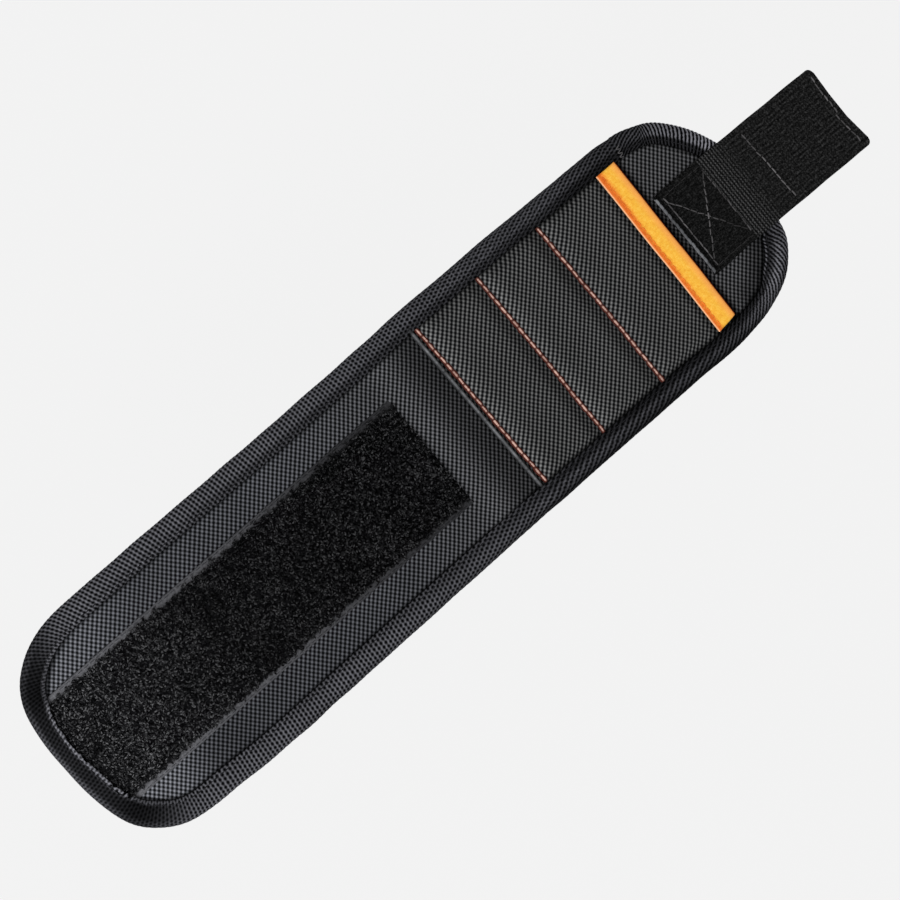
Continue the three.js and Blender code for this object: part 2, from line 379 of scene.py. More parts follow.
def weave_share(u):
    """How strongly each row stands out: nearly alike at the loop end, the first more strongly towards the head."""
    lean = smooth(20, 190, u)
    return 0.25 + 0.06 * lean, 0.19 - 0.02 * lean


def weave(uv):
    """Height of the yarn crowns, about -1 to 1, as the cloth's material has them."""
    u, v = uv[..., 0], uv[..., 1]
    a, b = weave_share(u)
    wave = lambda f: np.cos(2 * np.pi * (f[0] * u + f[1] * v))
    return 2 * (a * wave(WEAVE[0]) + b * wave(WEAVE[1]))


def cloth_look(name, dark, mid, light):
    """Coarse plain weave."""
    k = Look(name, 0.88, 0.02)
    uv, u, v = k.uv()
    lean = k.span(u, 20.0, 190.0)
    c1 = k.mul(k.wave(u, v, *WEAVE[0]), k.math("MULTIPLY_ADD", lean, 0.06, 0.25))
    c2 = k.mul(k.wave(u, v, *WEAVE[1]), k.math("MULTIPLY_ADD", lean, -0.02, 0.19))
    weave = k.add(c1, c2, 0.5)
    fuzz = k.noise(uv, 1.7, 3.0, 0.65)
    pattern = k.add(weave, k.swing(fuzz, 0.36))
    low = tuple(0.5 * d + 0.14 * m for d, m in zip(dark, mid))
    colour = k.ramp(pattern, [(0.0, dark), (0.28, low), (0.55, mid), (0.95, light)])
    broad = k.math("MULTIPLY_ADD", k.noise(uv, 0.045, 2.0), 0.5, 0.75)
    warm = k.mix(k.span(u, 110.0, 200.0), (1.0, 1.0, 1.0), (1.02, 1.0, 0.945))
    k.set("Base Color", k.scale(k.mix(1.0, colour, warm, "MULTIPLY"), k.mul(k.tone(), broad)))
    k.set("Roughness", k.math("MULTIPLY_ADD", pattern, -0.15, 0.97))
    k.bump(k.add(weave, k.mul(fuzz, 0.35)), 0.00018, 0.6)
    return k.mat


# The tape's weave: an open net of yarns whose gaps sit like bricks.
RIBS = ((0.635, 0.0), (0.3175, 0.71), (0.3175, -0.71))


def tape_look(name, dark, mid, light):
    """Edge binding: a net of yarns with a dark gap at each crossing; ply holds how strongly each row of gaps reads."""
    k = Look(name, 0.88, 0.02)
    uv, u, v = k.uv()
    share = k.split(k.node("ShaderNodeAttribute", attribute_name="ply").outputs["Vector"])
    # The yarns lie less evenly beside the pocket.
    loose = k.math("MAXIMUM", k.span(u, 120.0, 200.0, 1.0, 0.1), k.span(u, 560.0, 620.0, 0.1, 0.8))
    u2 = k.add(u, k.mul(k.swing(k.noise(uv, 0.6, 2.0), 1.0), loose))
    v2 = k.add(v, k.mul(k.swing(k.noise(k.vector(v, u), 0.6, 2.0), 1.0), loose))
    weave = k.math("SUBTRACT", 0.5, k.add(*[k.mul(k.wave(u2, v2, *f), s) for f, s in zip(RIBS, share)]))
    fuzz = k.noise(uv, 1.5, 3.0, 0.65)
    pattern = k.add(k.mul(k.swing(weave, 1.0), k.math("MULTIPLY_ADD", loose, -0.22, 1.02)), 0.5, k.mul(k.swing(fuzz, 1.0), k.math("MULTIPLY_ADD", loose, 0.55, 0.36)))
    low = tuple(0.5 * d + 0.22 * m for d, m in zip(dark, mid))
    colour = k.ramp(pattern, [(0.05, dark), (0.28, low), (0.55, mid), (0.92, light)])
    broad = k.math("MULTIPLY_ADD", k.noise(uv, 0.06, 2.0), 0.6, 0.7)
    k.set("Base Color", k.scale(colour, k.mul(k.tone(), broad)))
    k.set("Roughness", k.math("MULTIPLY_ADD", pattern, -0.2, 0.97))
    k.bump(k.add(weave, k.mul(fuzz, 0.4)), 0.0002, 0.7)
    return k.mat


def strap_look():
    """Elastic webbing: fine ribs across where it is stretched flat, uneven rows along the length elsewhere."""
    k = Look("strap_elastic", 0.9, 0.012)
    uv, u, v = k.uv()
    u2 = k.add(u, k.swing(k.noise(uv, 0.35, 2.0), 0.6))
    across = k.wave(u2, v, 0.836, 0.0)
    dots = k.math("MULTIPLY_ADD", k.wave(u2, v, 0.0, 0.85), 0.45, 0.55)
    ribs = k.math("MULTIPLY", k.span(u, 310.2, 311.4), k.span(u, 316.0, 326.0, 1.0, 0.12))
    v2 = k.add(v, k.swing(k.noise(uv, 0.22, 3.0, 0.7), 2.4))
    rows = k.mul(k.wave(u, v2, 0.0, 0.53), k.math("MULTIPLY_ADD", k.noise(uv, 0.4, 3.0), 0.34, -0.10), k.span(u, 322.0, 330.0))
    streak = k.noise(k.vector(k.mul(u, 0.45), k.mul(v, 1.1)), 1.0, 2.0, 0.6)
    fuzz = k.noise(uv, 1.5, 3.0, 0.75)
    plain = k.math("MULTIPLY_ADD", ribs, -0.7, 1.0)
    weave = k.add(k.mul(across, dots, k.math("MULTIPLY_ADD", ribs, 0.42, 0.015)), k.mul(k.add(k.swing(streak, 0.7), rows), plain))
    pattern = k.add(0.5, weave, k.swing(fuzz, 1.5))
    colour = k.ramp(pattern, [(0.10, srgb(1, 1, 2)), (0.32, srgb(11, 11, 11)), (0.52, srgb(24, 24, 24)), (0.94, srgb(64, 64, 64))])
    k.set("Base Color", k.scale(colour, k.tone()))
    k.bump(k.add(weave, k.mul(fuzz, 0.5)), 0.0002, 0.7)
    return k.mat


def pile_ground_look():
    """Ground cloth of the loop field, with its plain selvedges."""
    k = Look("pile_ground", 0.95, 0.015)
    uv, u, v = k.uv()
    fuzz = k.noise(uv, 1.1, 4.0, 0.7)
    edge = k.span(k.add(k.math("ABSOLUTE", v), k.swing(fuzz, 1.8)), 21.0, 22.4)
    deep = k.ramp(fuzz, [(0.3, srgb(2, 2, 3)), (0.7, srgb(20, 20, 21))])
    selvedge = k.ramp(fuzz, [(0.25, srgb(46, 46, 48)), (0.75, srgb(92, 92, 95))])
    k.set("Base Color", k.scale(k.mix(edge, deep, selvedge), k.tone()))
    k.bump(fuzz, 0.0003, 0.7)
    return k.mat


def pile_look():
    """Loop pile: u holds a share of its own for each loop and v the place along it."""
    k = Look("loop_pile", 0.85, 0.04)
    uv, u, v = k.uv()
    own = k.math("FRACT", u)
    colour = k.ramp(own, [(0.0, srgb(4, 4, 5)), (0.35, srgb(19, 19, 20)), (0.72, srgb(38, 38, 39)), (1.0, srgb(66, 66, 67))])
    grain = k.math("MULTIPLY_ADD", k.noise(k.vector(k.mul(u, 7.0), k.mul(v, 9.0)), 1.0, 2.0), 0.8, 0.6)
    k.set("Base Color", k.scale(colour, k.mul(k.tone(), grain)))
    k.bump(grain, 0.00005, 0.5)
    return k.mat


def trim_look():
    """Orange tape: brushed short fibres, deeper colour beside the sewing, a painted highlight along its left edge and
    painted shade on its turned-down right edge.
    """
    k = Look("trim_orange", 0.8, 0.05)
    uv, u, v = k.uv()
    fibre = k.noise(uv, 1.3, 4.0, 0.75)
    brushed = k.noise(k.vector(k.add(k.mul(u, 0.9), k.mul(v, 0.7)), k.mul(k.math("SUBTRACT", v, u), 0.25)), 1.0, 3.0, 0.7)
    cloudy = k.noise(uv, 0.6, 3.0)
    mottle = k.add(k.mul(fibre, 0.65), k.mul(brushed, 0.35), k.swing(cloudy, 0.45))
    base = k.ramp(mottle, [(0.22, (0.66, 0.255, 0.022)), (0.5, (0.81, 0.418, 0.044)), (0.8, (0.885, 0.575, 0.115))])
    deep = k.ramp(mottle, [(0.3, (0.58, 0.085, 0.010)), (0.7, (0.82, 0.225, 0.034))])
    near = k.span(k.add(u, k.swing(fibre, 1.6), k.span(v, 5.0, 28.0, 0.0, -0.7)), 278.5, 281.0, 1.0, 0.0)
    # Painted highlight: a thin pale line along the tape's left edge, where the light catches it.
    edge_highlight = k.span(k.add(u, k.swing(fibre, 0.2)), 277.95, 278.35, 1.0, 0.0)
    turn = k.span(k.add(u, k.swing(fibre, 0.5)), 282.8, 286.2, 0.0, 0.95)
    # Painted shade: a dark red strip on the turned-down right edge.
    under = k.span(u, 286.25, 286.65)
    colour = k.mix(near, base, deep)
    colour = k.mix(turn, colour, (0.90, 0.365, 0.085))
    colour = k.mix(under, colour, (0.22, 0.02, 0.004))
    colour = k.mix(edge_highlight, colour, (0.84, 0.44, 0.23))
    k.set("Base Color", k.scale(colour, k.tone()))
    k.bump(k.add(fibre, k.mul(k.wave(u, v, 0.0, 1.25), 0.12)), 0.00016, 0.8)
    return k.mat


def thread_look(name, core, side, low=-0.1, high=0.75, twist=2.2, rough=0.5, bare=False):
    """Sewing thread: u runs along the stitch and v round it, with the twist of its plies and shade on its flanks.
    On a bare thread, tone says how much of the core shows."""
    k = Look(name, 0.7, 0.06)
    uv, u, v = k.uv()
    ply = k.math("MULTIPLY_ADD", k.wave(u, v, twist, 1.0), 0.5, 0.5)
    fuzz = k.noise(k.vector(k.mul(u, 1.3), v), 1.6, 2.0)
    top = k.span(k.add(k.math("SINE", k.mul(v, 2 * math.pi)), k.swing(fuzz, rough)), low, high)
    blend = k.mul(top, k.math("MULTIPLY_ADD", ply, 0.3, k.math("MULTIPLY_ADD", fuzz, 0.6, 0.45)))
    blend = k.math("MINIMUM", blend, 1.0)
    if bare:
        k.set("Base Color", k.mix(k.mul(blend, k.span(k.tone(), 0.1, 0.9)), side, core))
    else:
        k.set("Base Color", k.scale(k.mix(blend, side, core), k.tone()))
    k.bump(ply, 0.0001, 0.6)
    return k.mat


def lining_look():
    """Spacer mesh: knitted ribs round open cells."""
    k = Look("lining_mesh", 0.85, 0.05)
    uv, u, v = k.uv()
    fuzz = k.noise(uv, 2.6, 3.0, 0.7)
    knit = k.math("MULTIPLY", k.wave(u, v, 1.25, 0.6), k.wave(u, v, 1.25, -0.6))
    pattern = k.add(0.45, k.mul(knit, 0.3), k.swing(fuzz, 0.5))
    colour = k.ramp(pattern, [(0.1, srgb(14, 14, 16)), (0.5, srgb(42, 42, 45)), (0.9, srgb(82, 82, 86))])
    k.set("Base Color", k.scale(colour, k.tone()))
    k.bump(pattern, 0.0002, 0.7)
    return k.mat


def backing_look():
    k = Look("backing_cloth", 0.9, 0.04)
    uv, u, v = k.uv()
    weave = k.math("MULTIPLY", k.wave(u, v, 0.8, 0.0), k.wave(u, v, 0.0, 0.8))
    fuzz = k.noise(uv, 1.6, 3.0)
    pattern = k.add(0.5, k.mul(weave, 0.3), k.swing(fuzz, 0.4))
    k.set("Base Color", k.scale(k.ramp(pattern, [(0.1, srgb(14, 14, 16)), (0.9, srgb(70, 70, 74))]), k.tone()))
    k.bump(pattern, 0.00015, 0.6)
    return k.mat


def hook_look():
    k = Look("hook_tape", 0.45, 0.2)
    uv, u, v = k.uv()
    fuzz = k.noise(uv, 0.9, 3.0)
    k.set("Base Color", k.scale(k.ramp(fuzz, [(0.3, srgb(14, 14, 15)), (0.7, srgb(38, 38, 40))]), k.tone()))
    k.set("Roughness", k.math("MULTIPLY_ADD", fuzz, 0.3, 0.3))
    k.bump(k.noise(uv, 3.0, 2.0), 0.00006, 0.5)
    return k.mat


def magnet_look():
    """Nickel plate with fine handling marks."""
    k = Look("magnet_metal", 0.3, 0.5)
    k.set("Metallic", 1.0)
    place = k.node("ShaderNodeTexCoord").outputs["Object"]
    marks = k.noise(place, 900.0, 4.0, 0.7)
    broad = k.noise(place, 160.0, 2.0)
    k.set("Base Color", k.ramp(broad, [(0.3, (0.50, 0.50, 0.51)), (0.7, (0.72, 0.72, 0.73))]))
    k.set("Roughness", k.math("MULTIPLY_ADD", marks, 0.35, 0.18))
    k.bump(marks, 0.00002, 0.5)
    return k.mat


SHELL = cloth_look("shell_fabric", srgb(2, 2, 3), srgb(54, 55, 58), srgb(101, 102, 107))
FRONT = cloth_look("pocket_fabric", srgb(2, 2, 3), srgb(49, 50, 52), srgb(101, 102, 104))
BINDING = tape_look("binding_tape", srgb(2, 2, 3), srgb(54, 54, 57), srgb(102, 102, 107))
STRAP = strap_look()
GROUND = pile_ground_look()
PILE = pile_look()
ORANGE = trim_look()
ROW_THREAD = thread_look("thread_orange", srgb(206, 168, 154), srgb(70, 31, 24), 0.88, 0.99, rough=0.18, bare=True)
TRIM_THREAD = thread_look("thread_red", srgb(238, 126, 44), srgb(206, 74, 18))
GREY_THREAD = thread_look("thread_grey", srgb(116, 114, 115), srgb(34, 33, 34), -0.2, 0.8)
PALE_THREAD = thread_look("thread_pale", srgb(150, 152, 156), srgb(46, 46, 50), 0.0, 0.9)
DARK_THREAD = thread_look("thread_black", srgb(40, 40, 43), srgb(10, 10, 11))
LINING = lining_look()
BACKING = backing_look()
HOOKS = hook_look()
METAL = magnet_look()


# ---- the band's outline -------------------------------------------------------------------------
def inwards(p):
    """Unit normals that point into the band, for a path that has the band on its left."""
    t = np.gradient(p, axis=0)
    t /= np.linalg.norm(t, axis=1, keepdims=True)
    return np.stack([-t[:, 1], t[:, 0]], 1)


def settle(x, side):
    """The band doesn't lie quite straight: it bows out a little along one side and its head sits low."""
    along = smooth(5, 40, x)
    if side > 0:
        return -0.3 * along * smooth(70, 100, x) * (1 - smooth(180, 200, x)) - 1.15 * smooth(225, 300, x)
    return -along * (0.25 + 0.5 * hump(x, 95, 70)) - 0.9 * smooth(285, 318, x)


def drawn_in(x, y, side):
    """How far the sewing draws the edge in from its even outline, in places."""
    if side > 0:
        d = -1.1 * hump(x, 306, 7) + 0.75 * hump(x, 290.5, 5) + 0.3 * smooth(235, 250, x) * (1 - smooth(278, 292, x)) - 0.45 * hump(x, 188, 14)
        d = d + 0.22 * hump(x, 128, 22) + 0.18 * smooth(14, 22, x) * (1 - smooth(78, 95, x)) + 0.28 * hump(x, 20, 12) + 0.25 * hump(y, 38, 4) * (x < 30)
        return d - 0.5 * hump(y, 29, 8) * (1 - smooth(8, 18, x))
    d = 1.0 * hump(x, 38, 11) + 0.2 * hump(x, 27, 9) + 0.25 * smooth(70, 95, x) * (1 - smooth(215, 245, x)) - 0.6 * hump(x, 275, 9) + 0.75 * hump(x, 305, 8)
    d = d + 0.9 * hump(y, -20, 5) * (x > 300)
    return d - 0.7 * hump(y, -30, 9) * (1 - smooth(12, 22, x))


def outline(side, count=900):
    """One side of the band from the middle of the loop end to the middle of the head end."""
    t = np.linspace(0, np.pi / 2, count)
    ax = LOOP_END_RUN * (1 - np.cos(t) ** (2 / LOOP_END_POWER))
    ay = side * HALF_WIDTH * np.sin(t) ** (2 / LOOP_END_POWER)
    ax[-1], ay[-1] = LOOP_END_RUN, side * HALF_WIDTH
    s = t[::-1]
    bx = BAND_LENGTH - HEAD_RUN + HEAD_RUN * np.abs(np.cos(s)) ** (2 / HEAD_POWER)
    by = side * HALF_WIDTH * np.sin(s) ** (2 / HEAD_POWER)
    bx[0], by[0] = BAND_LENGTH - HEAD_RUN, side * HALF_WIDTH
    bx = bx - HEAD_SKEW * by * smooth(288, 304, bx)
    p = np.stack([np.concatenate([ax, bx]), np.concatenate([ay, by])], 1)
    long_side = np.column_stack([np.linspace(LOOP_END_RUN, BAND_LENGTH - HEAD_RUN, 300)[1:-1], np.full(298, side * HALF_WIDTH)])
    p = np.vstack([p[:count], long_side, p[count:]])
    p[:, 1] += settle(p[:, 0], side)
    return p - side * inwards(p) * drawn_in(p[:, 0], p[:, 1], side)[:, None]


def resample(p, step):
    s = lengths(p)
    e = np.linspace(0, s[-1], max(2, int(round(s[-1] / step)) + 1))
    return np.stack([np.interp(e, s, p[:, k]) for k in range(p.shape[1])], 1)


RIM = np.vstack([outline(1)[::-1], outline(-1)[1:]])  # head middle, left side, loop end, right side, head middle
RIM_FINE = resample(RIM, 0.8)


def leg_width(p):
    """Width of the tape seen on the upper face, at points of the rim."""
    x, y = p[:, 0], p[:, 1]
    left = 8.7 - 0.2 * smooth(180, 210, x) - 0.7 * smooth(280, 305, x)
    right = 9.3 + 0.2 * hump(x, 130, 50) - 0.4 * smooth(180, 215, x) - 0.6 * smooth(240, 275, x) - 0.7 * smooth(280, 305, x)
    right = right + 2.1 * smooth(302, 312, x) * (1 - smooth(-25, -20, y))
    leg = np.where(y > 0, left, right)
    tip = (1 - smooth(13, 27, np.abs(y))) * (x < 40)
    return leg + (7.55 + 0.8 * smooth(5, -12, y) - leg) * tip + 0.7 * hump(np.hypot(x - 9.5, y + 36), 0, 9)


RIM_LEG = leg_width(RIM_FINE)


def edge_place(x, y):
    """Distance from the band's outline for points inside it, and the width of the tape there."""
    x, y = np.broadcast_arrays(np.asarray(x, float), np.asarray(y, float))
    flat = np.stack([x.ravel(), y.ravel()], 1)
    best, leg = np.empty(len(flat)), np.empty(len(flat))
    for i in range(0, len(flat), 4000):
        part = flat[i : i + 4000]
        d = (part[:, :1] - RIM_FINE[None, :, 0]) ** 2 + (part[:, 1:] - RIM_FINE[None, :, 1]) ** 2
        at = d.argmin(1)
        best[i : i + 4000] = np.sqrt(d[np.arange(len(part)), at])
        leg[i : i + 4000] = RIM_LEG[at]
    return best.reshape(x.shape), leg.reshape(x.shape)


def inset_sides(distance):
    """y of the two sides of the outline moved inwards, as functions of x."""
    fine = resample(RIM, 0.4)
    p = fine + inwards(fine) * distance
    p = p[edge_place(p[:, 0], p[:, 1])[0] > distance - 0.05]
    split = -1.15 * smooth(200, 300, p[:, 0])
    up, low = p[p[:, 1] >= split], p[p[:, 1] < split]
    up, low = up[np.argsort(up[:, 0])], low[np.argsort(low[:, 0])]
    tip = (min(up[0, 0], low[0, 0]), max(up[-1, 0], low[-1, 0]))
    return tip, lambda x: np.interp(x, up[:, 0], up[:, 1]), lambda x: np.interp(x, low[:, 0], low[:, 1])


def columns(x0, x1, step, tip):
    """x of the sections of a piece, closer together where the outline rounds off at an end."""
    x0, x1 = max(x0, tip[0] + 0.15), min(x1, tip[1] - 0.15)
    n = max(3, int(round((x1 - x0) / step)) + 1)
    t = np.linspace(0, 1, n)
    if x0 < 12:
        t = t**1.25
    elif x1 > 312:
        t = 1 - (1 - t) ** 1.25
    return x0 + (x1 - x0) * t


# ---- shell ----------------------------------------------------------------------------------------
def shell_uv(x, y):
    """Cloth coordinates of the shell: the yarns draw askew towards the pocket and the head, and wander a little."""
    past = np.maximum(x - 150, 0)
    u = x + 0.048 * past + 0.030 * y * smooth(110, 175, x)
    v = y + 0.026 * np.minimum(past, 45) - 0.023 * np.maximum(x - 280, 0)
    return np.stack([u + 0.10 * ripple(x, y, 3, 30), v + 0.10 * ripple(x, y, 4, 30)], -1)


def shell_height(x, y):
    z = SHELL_TOP + 0.10 * ripple(x, y, 11, 42)
    ridge = smooth(166.0, 174.5, x) * (1 - smooth(175.5, 190.5, x))
    return z + 1.25 * ridge * (1 - 0.5 * smooth(26, 40, np.abs(y)))


def shell_tone(x, y):
    """Sheen where the cloth turns to the light, and shade where it dips to a seam or under an edge."""
    t = 1 + 0.14 * hump(x, 173.0, 5.0) - 0.55 * smooth(174, 187, x) * (x < 240) - 0.12 * smooth(189, 191, x) * (x < 240)
    t = t * (1 - 0.2 * smooth(-20, -30, y) * (1 - smooth(130, 175, x)))
    t = t * (1 - 0.95 * (x > 260) * (1 - smooth(287.3, 289.7, x)))
    t = t * (1 - 0.10 * smooth(285, 290, x))
    n, leg = edge_place(x, y)
    wedge = np.where(y > 0, 1 - smooth(20, 38, x), 1 - smooth(8, 18, x)) * smooth(17, 25, np.abs(y))
    t = t * (1 + np.where(y > 0, 0.92 * (1 - smooth(20, 56, x)), 1.28 * (1 - smooth(22, 44, x)) - 0.2 * hump(x, 54, 9)))
    t = t * (1 - 0.75 * (1 - smooth(leg - 0.2, leg + 1.3, n))) * (1 - 0.75 * wedge * (1 - smooth(leg + 0.6, leg + 2.6, n)))
    # Shade in the head's lower corner.
    low = (y < 0) * smooth(289, 296, x)
    t = t * (1 - 0.6 * low * (1 - smooth(leg + 1, leg + 11, n))) * (1 - 0.6 * low * (1 - smooth(303, 310, x)) * (1 - smooth(leg + 0.2, leg + 2.0, n)))
    return np.clip(t, 0.06, 2)


shell_tip, shell_up, shell_low = inset_sides(1.3)
EDGE_ROWS = np.concatenate([np.linspace(-1, -0.51, 55), np.linspace(-0.48, 0.48, 17), np.linspace(0.51, 1, 55)])
FULL_ROWS = np.linspace(-1, 1, 219)
PLAIN_ROWS = np.linspace(-1, 1, 41)
for i in range(7):
    rows = FULL_ROWS if i in (3, 6) else PLAIN_ROWS if i in (4, 5) else EDGE_ROWS
    xs = columns(CUTS[i], CUTS[i + 1], 1.5 if i in (4, 5) else 0.4, shell_tip)
    lo, hi = shell_low(xs), shell_up(xs)
    y = lo[:, None] + (hi - lo)[:, None] * (rows + 1)[None] / 2
    x = np.broadcast_to(xs[:, None], y.shape)
    uv = shell_uv(x, y)
    z = shell_height(x, y)
    if i not in (4, 5):
        z = z + 0.10 * weave(uv)
    top = np.stack([x, y, z], -1)
    mid = len(rows) // 2
    under = np.stack([x[:, [-1, mid, 0]], y[:, [-1, mid, 0]], np.full((len(xs), 3), SHELL_TOP - SHELL_T)], -1)
    loops = np.concatenate([top, under], 1)
    ob = sweep(f"shell_cloth_{i + 1}", loops, np.concatenate([uv, uv[:, [-1, mid, 0]]], 1), shell_tone(loops[..., 0], loops[..., 1]), SHELL, sharp=75)
    bend(ob, i)
    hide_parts(*([f"shell_{i + 1}"] if i < 6 else ["shell_7", "shell_8"]))

# ---- lining ---------------------------------------------------------------------------------------
lin_tip, lin_up, lin_low = inset_sides(1.4)
for i in range(7):
    xs = columns(CUTS[i], CUTS[i + 1], 0.62, lin_tip)
    lo, hi = lin_low(xs), lin_up(xs)
    rows = np.linspace(0, 1, 141)
    y = lo[:, None] + (hi - lo)[:, None] * rows[None]
    x = np.broadcast_to(xs[:, None], y.shape)
    inside = smooth(8.7, 11.2, edge_place(x, y)[0])
    # Open cells of the spacer mesh, in staggered rows.
    a, b = 2 * np.pi * x / 3.6, 2 * np.pi * y / (3.6 * math.sqrt(3))
    cell = (np.cos(a) * np.cos(b) * 2 + np.cos(2 * b)) / 3
    pit = smooth(0.02, 0.75, cell)
    z = 1.15 - 1.1 * inside + 0.06 * inside * ripple(x, y, 5, 30) + 0.62 * pit * inside
    under = np.stack([x, y, z], -1)
    over = np.stack([x[:, [-1, 70, 0]], y[:, [-1, 70, 0]], np.full((len(xs), 3), 2.72)], -1)
    loops = np.concatenate([under, over], 1)
    # Painted shade: the open cells are darker, where shade falls inside them.
    tone = np.concatenate([1 - 0.72 * pit * inside, np.ones((len(xs), 3))], 1)
    ob = sweep(f"lining_pad_{i + 1}", loops, loops[..., :2], tone, LINING, sharp=60)
    bend(ob, i)
    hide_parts(*([f"lining_{i + 1}"] if i < 6 else ["lining_7", "lining_8"]))

# ---- edge binding ---------------------------------------------------------------------------------
# Cross-sections as (distance in from the edge, height): over the plain band and beside the pocket.
OUTER = 92
PLAIN_OUT = spline([(8.3, 4.15), (8.15, 4.62), (7.2, 4.95), (5.2, 5.38), (3.0, 5.42), (1.2, 4.75), (0.25, 3.6), (0.0, 2.6), (0.2, 1.5), (1.0, 0.45), (2.4, 0.04), (5.0, 0.0), (7.5, 0.0), (8.15, 0.12), (8.3, 0.45)], OUTER)
POCKET_OUT = spline([(8.3, 5.35), (8.1, 5.72), (6.9, 5.95), (5.3, 6.55), (3.2, 7.15), (1.3, 6.4), (0.3, 4.9), (0.0, 3.3), (0.2, 1.7), (1.0, 0.5), (2.4, 0.04), (5.0, 0.0), (7.5, 0.0), (8.15, 0.12), (8.3, 0.45)], OUTER)
PLAIN_IN = np.array([(8.2, 0.8), (3.2, 0.85), (1.4, 1.3), (0.85, 2.6), (1.2, 3.9), (3.2, 4.6), (6.5, 4.2), (8.1, 3.8)])
POCKET_IN = np.array([(8.2, 0.8), (3.2, 0.85), (1.4, 1.4), (0.85, 3.2), (1.2, 5.3), (3.2, 6.2), (6.5, 5.3), (8.1, 4.95)])
SEAM_IN = 6.7  # the sewing line's distance from the edge
JOIN_X = 291.3  # where the two ends of the tape meet, on the left side


def beside_pocket(x):
    return smooth(184, 195, x) * (1 - smooth(283, 296, x))


def section_normal(p):
    t = np.gradient(p, axis=0)
    t /= np.linalg.norm(t, axis=1, keepdims=True)
    return np.stack([t[:, 1], -t[:, 0]], 1)  # away from the folded tape


PLAIN_N, POCKET_N = section_normal(PLAIN_OUT), section_normal(POCKET_OUT)
V_OUT = lengths(PLAIN_OUT)
ON_TOP = np.arange(OUTER) < PLAIN_OUT[:, 0].argmin()
BACK_TOP = np.arange(len(PLAIN_IN)) > 3


def tape_lie(p):
    """How the tape's weave lies along the rim: its slant, and how strongly each row of crowns reads."""
    x, y = p[:, 0], p[:, 1]
    left = smooth(-18, 18, y)
    past = left * smooth(JOIN_X - 0.3, JOIN_X + 0.3, x)
    slant = left * (-0.48 + 0.36 * smooth(10, 130, x) + 0.08 * smooth(170, 230, x)) + (1 - left) * (0.05 - 0.35 * smooth(90, 260, x))
    far = past * smooth(300, 305, x)
    slant = slant - 0.28 * far
    rich = (1 + 0.58 * smooth(140, 215, x)) * (1 - 0.5 * (1 - smooth(9, 32, x)))
    one = left * (0.32 - 0.24 * smooth(110, 255, x)) + (1 - left) * (0.31 - 0.26 * smooth(100, 215, x)) + 0.42 * far
    two = 0.17 + 0.02 * left * smooth(225, 255, x) + (1 - left) * (0.05 * smooth(60, 150, x) + 0.07 * smooth(265, 285, x)) + 0.09 * past - 0.20 * far
    three = left * (0.09 + 0.05 * smooth(100, 180, x) - 0.03 * smooth(225, 255, x)) + (1 - left) * (0.14 - 0.08 * smooth(170, 230, x) - 0.03 * smooth(265, 285, x)) - 0.08 * past
    return slant, np.stack([one, two, three], -1) * rich[:, None]


